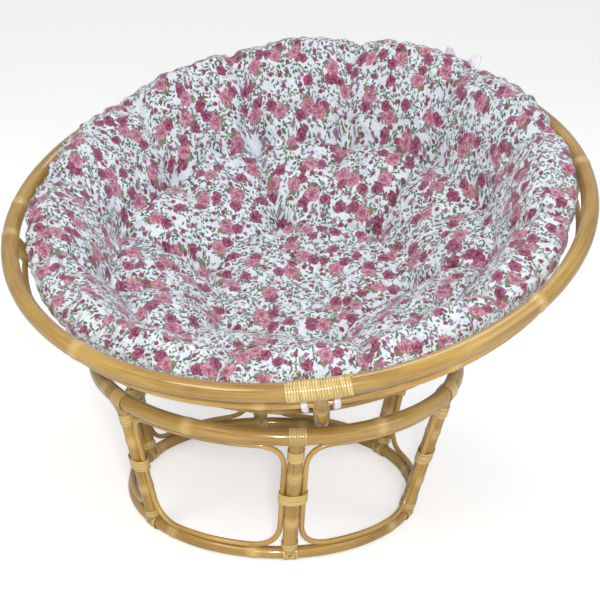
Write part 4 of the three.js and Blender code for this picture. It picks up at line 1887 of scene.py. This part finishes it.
@dataclass
class Ties:
    """The satin ties that hold the cushion: two folded over the upper hoop beside the
    front rib, and one round the rim at the back, with the two loops of its bow."""

    width: float = 11 * MM
    thickness: float = 0.9 * MM
    hoop_gap: float = 1.4 * MM
    tail: float = 60 * MM
    tail_shares: tuple[float, ...] = (0.3, 0.6, 0.8, 1)
    short_tail: float = 12 * MM
    offset: float = 27 * MM
    bow_azimuth: float = 52
    bow_lean: float = 60
    bow_length: float = 42 * MM
    bow_depth: float = 13 * MM
    bow_width: float = 36 * MM
    # The loops' width at the knot, and where along them they are at their widest
    knot_share: float = 0.3
    wide_share: float = 0.7
    band_gap: float = 1.3 * MM
    steps: int = 20

    def tape(self, name: str, route: Sequence[Vector], across: Vector) -> Piece:
        """Draws a tape: a line extruded along its route, then across, and thickened.

        Args:
            name: The piece's name.
            route: The tape's middle line, which may end where it starts.
            across: The way across the tape, as long as the tape is wide.

        Returns:
            The tape.
        """
        tape = added(bpy.ops.mesh.primitive_plane_add, name, size=MM, location=route[0])
        settle(tape)
        with editing(tape):
            bpy.ops.mesh.merge(type="CENTER")
            for here, there in zip(route, route[1:]):
                step = {"value": there - here}
                bpy.ops.mesh.extrude_vertices_move(TRANSFORM_OT_translate=step)
            bpy.ops.mesh.select_all(action="SELECT")
            bpy.ops.mesh.extrude_edges_move(TRANSFORM_OT_translate={"value": across})
            bpy.ops.mesh.select_all(action="SELECT")
            bpy.ops.mesh.remove_doubles(threshold=WELD)
            bpy.ops.mesh.normals_make_consistent(inside=False)
        tape.data.transform(Matrix.Translation(-across / 2))
        apply_modifier(tape, "SOLIDIFY", thickness=self.thickness, offset=0)
        apply_modifier(tape, "SUBSURF", levels=2, render_levels=2)
        smooth(tape, 60)
        return tape

    def over_hoop(self, side: int, material: Material) -> None:
        """Makes one tape folded over the upper hoop, its long tail inside the ribs.

        Args:
            side: -1 for the left one and 1 for the right one.
            material: The satin.
        """
        hoop, depth = Bowl.upper_radius, Bowl.rise + Bowl.upper_drop
        bend = Bowl.upper_cane / 2 + self.hoop_gap
        sway = self.thickness
        route = [
            Vector((bend + sway, -self.short_tail, 0)),
            Vector((bend, -self.short_tail / 2, 0)),
            *(outward(angle) * bend for angle in np.linspace(0, math.pi, self.steps)),
        ]
        for share in self.tail_shares:
            swing = -bend - sway * math.sin(share * math.pi)
            route.append(Vector((swing, -share * self.tail, 0)))
        node = f"front_tie_{'left' if side < 0 else 'right'}"
        tape = self.tape(f"{node}_tape", route, Z * self.width)
        azimuth = math.radians(Bowl.turn) + side * self.offset / hoop
        hang = math.atan2(hoop, depth)
        across = outward(azimuth) * math.sin(hang) - Z * math.cos(hang)
        along = outward(azimuth - math.pi / 2)
        place = outward(azimuth) * hoop - Z * depth
        tape.data.transform(bowl_placing() @ frame_of(place, across, along.cross(across)))
        keep(tape, material, Slot.SATIN, Body.BOWL, node)

    def bow(self, material: Material) -> None:
        """Makes the band round the rim and the bow's two loops.

        Args:
            material: The satin.
        """
        azimuth, lean = math.radians(self.bow_azimuth), math.radians(self.bow_lean)
        up = outward(azimuth) * math.cos(lean) + Z * math.sin(lean)
        along = outward(azimuth + math.pi / 2)
        place = outward(azimuth) * Bowl.rim_radius - Z * Bowl.rise
        placing = bowl_placing() @ frame_of(place, along, up)
        bend = Bowl.rim_pole / 2 + self.band_gap
        angles = np.linspace(0, TURN, 2 * self.steps + 1)
        route = [Vector((0, bend * math.cos(a), bend * math.sin(a))) for a in angles]
        band = self.tape("back_tie_tape", route, X * self.width)
        band.data.transform(placing)
        keep(band, material, Slot.SATIN, Body.BOWL, "back_tie_band")
        for side, word in ((1, "left"), (-1, "right")):
            route = []
            for angle in angles:
                reach = self.bow_length * (1 - math.cos(angle)) / 2
                open_share = math.sin(angle) * abs(math.sin(angle / 2)) ** 0.5
                route.append(Vector((side * reach, self.bow_depth * open_share / 2, 0)))
            node = f"back_bow_{word}"
            loop = self.tape(f"{node}_loop", route, Z * self.bow_width)
            reshape(loop, self.flare)
            loop.data.transform(placing)
            keep(loop, material, Slot.SATIN, Body.BOWL, node)

    def flare(self, points: Points) -> Points:
        """Stands a bow's loop up from the rim, drawn in at the knot.

        Args:
            points: The points.

        Returns:
            Their new places.
        """
        reach, depth, across = points.T
        share = np.clip(np.abs(reach) / (self.wide_share * self.bow_length), self.knot_share, 1)
        foot = Bowl.rim_pole / 2 + self.band_gap + 2 * self.thickness
        rise = foot + (across + self.bow_width / 2) * share
        return np.stack([reach, rise, depth], 1)

    def build(self, finishes: Finishes) -> None:
        """Makes all the ties.

        Args:
            finishes: The chair's materials.
        """
        self.over_hoop(-1, finishes.satin)
        self.over_hoop(1, finishes.satin)
        self.bow(finishes.satin)


@dataclass(frozen=True)
class Lamp:
    """A soft square light: where it stands, its watts, its width and its colour."""

    name: str
    place: Sizes
    power: float
    size: float
    colour: str


@dataclass
class Studio:
    """A pale floor, a white background, soft lights, and the photograph's camera."""

    lens: float = 95.0
    sensor: float = 36.0
    shift_x: float = 0.0392
    shift_y: float = 0.0978
    eye: Sizes = (-0.0296, -2.8062, 1.4432)
    pitch: float = 23.1
    roll: float = 1.34
    floor_size: float = 60.0
    floor_colour: str = "#e4e4e4"
    floor_glow: float = 0.45
    # The world's strength on the object and as the background
    world_light: float = 0.5
    world_shown: float = 1.0
    aim: Sizes = (0, 0, 0.4)
    lamps: tuple[Lamp, ...] = (
        Lamp("flash", (0.1, -3.0, 1.6), 52, 0.28, "#fffaf2"),
        Lamp("key", (-1.7, -2.0, 2.9), 30, 1.2, "#fff8ee"),
        Lamp("fill", (2.6, -1.2, 2.2), 16, 1.6, "#f2f6ff"),
        Lamp("top", (0.2, 0.8, 3.2), 16, 1.2, "#ffffff"),
    )

    def camera(self) -> None:
        """Places the camera."""
        data = bpy.data.cameras.new("camera")
        data.lens = self.lens
        data.sensor_width = self.sensor
        data.shift_x = self.shift_x
        data.shift_y = self.shift_y
        camera = bpy.data.objects.new("camera", data)
        bpy.context.scene.collection.objects.link(camera)
        aim = Matrix.Rotation(math.radians(90 - self.pitch), 4, "X")
        turned = Matrix.Rotation(math.radians(self.roll), 4, "Z")
        camera.matrix_world = Matrix.Translation(self.eye) @ aim @ turned
        bpy.context.scene.camera = camera

    def floor(self) -> None:
        """Lays the floor, which is lit like the object and keeps its shadow."""
        floor = added(bpy.ops.mesh.primitive_plane_add, "floor", size=self.floor_size)
        s = Surface(bpy.data.materials.new("white_paper_floor"))
        seen = s.add("LightPath", out="Is Camera Ray")
        glow = s.add("Math", seen, self.floor_glow, operation="MULTIPLY")
        shine = {"Roughness": 0.95, "Specular_IOR_Level": 0.0}
        emission = {"Emission_Color": "#ffffff", "Emission_Strength": glow}
        floor.data.materials.append(s.dress(Base_Color=self.floor_colour, **shine, **emission))

    def light(self, lamp: Lamp) -> None:
        """Adds a lamp that faces the chair.

        Args:
            lamp: The lamp.
        """
        data = bpy.data.lights.new(lamp.name, "AREA")
        data.energy = lamp.power
        data.size = lamp.size
        data.color = linear(lamp.colour)[:3]
        light = bpy.data.objects.new(lamp.name, data)
        bpy.context.scene.collection.objects.link(light)
        light.location = lamp.place
        aim = Vector(self.aim) - Vector(lamp.place)
        light.rotation_euler = aim.to_track_quat("-Z", "Y").to_euler()

    def build(self) -> None:
        """Sets up the studio."""
        scene = bpy.context.scene
        scene.view_settings.view_transform = "Standard"
        s = Surface(bpy.data.worlds.new("white_studio"), "Background")
        seen = s.add("LightPath", out="Is Camera Ray")
        strength = s.add("MapRange", seen, None, None, self.world_light, self.world_shown)
        scene.world = s.dress(Strength=strength, Color="#ffffff")
        self.floor()
        for lamp in self.lamps:
            self.light(lamp)
        self.camera()


def main() -> None:
    """Builds the chair, one sub-assembly after another, and the studio."""
    logging.basicConfig(level=logging.INFO, format="%(message)s")
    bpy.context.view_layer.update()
    Studio().build()
    finishes = Finishes(
        pole=Rattan("lacquered_rattan_pole").material(),
        cane=Rattan("lacquered_rattan_cane", light="#ccaa60", middle="#b89147").material(),
        peel=CanePeel().material(),
        dowel=DowelBeech().material(),
        cotton=PrintedCotton().material(),
        satin=SatinTape().material(),
    )
    Base().build(finishes)
    Bowl().build(finishes)
    Cushion().build(finishes)
    Ties().build(finishes)


if __name__ == "__main__":
    main()
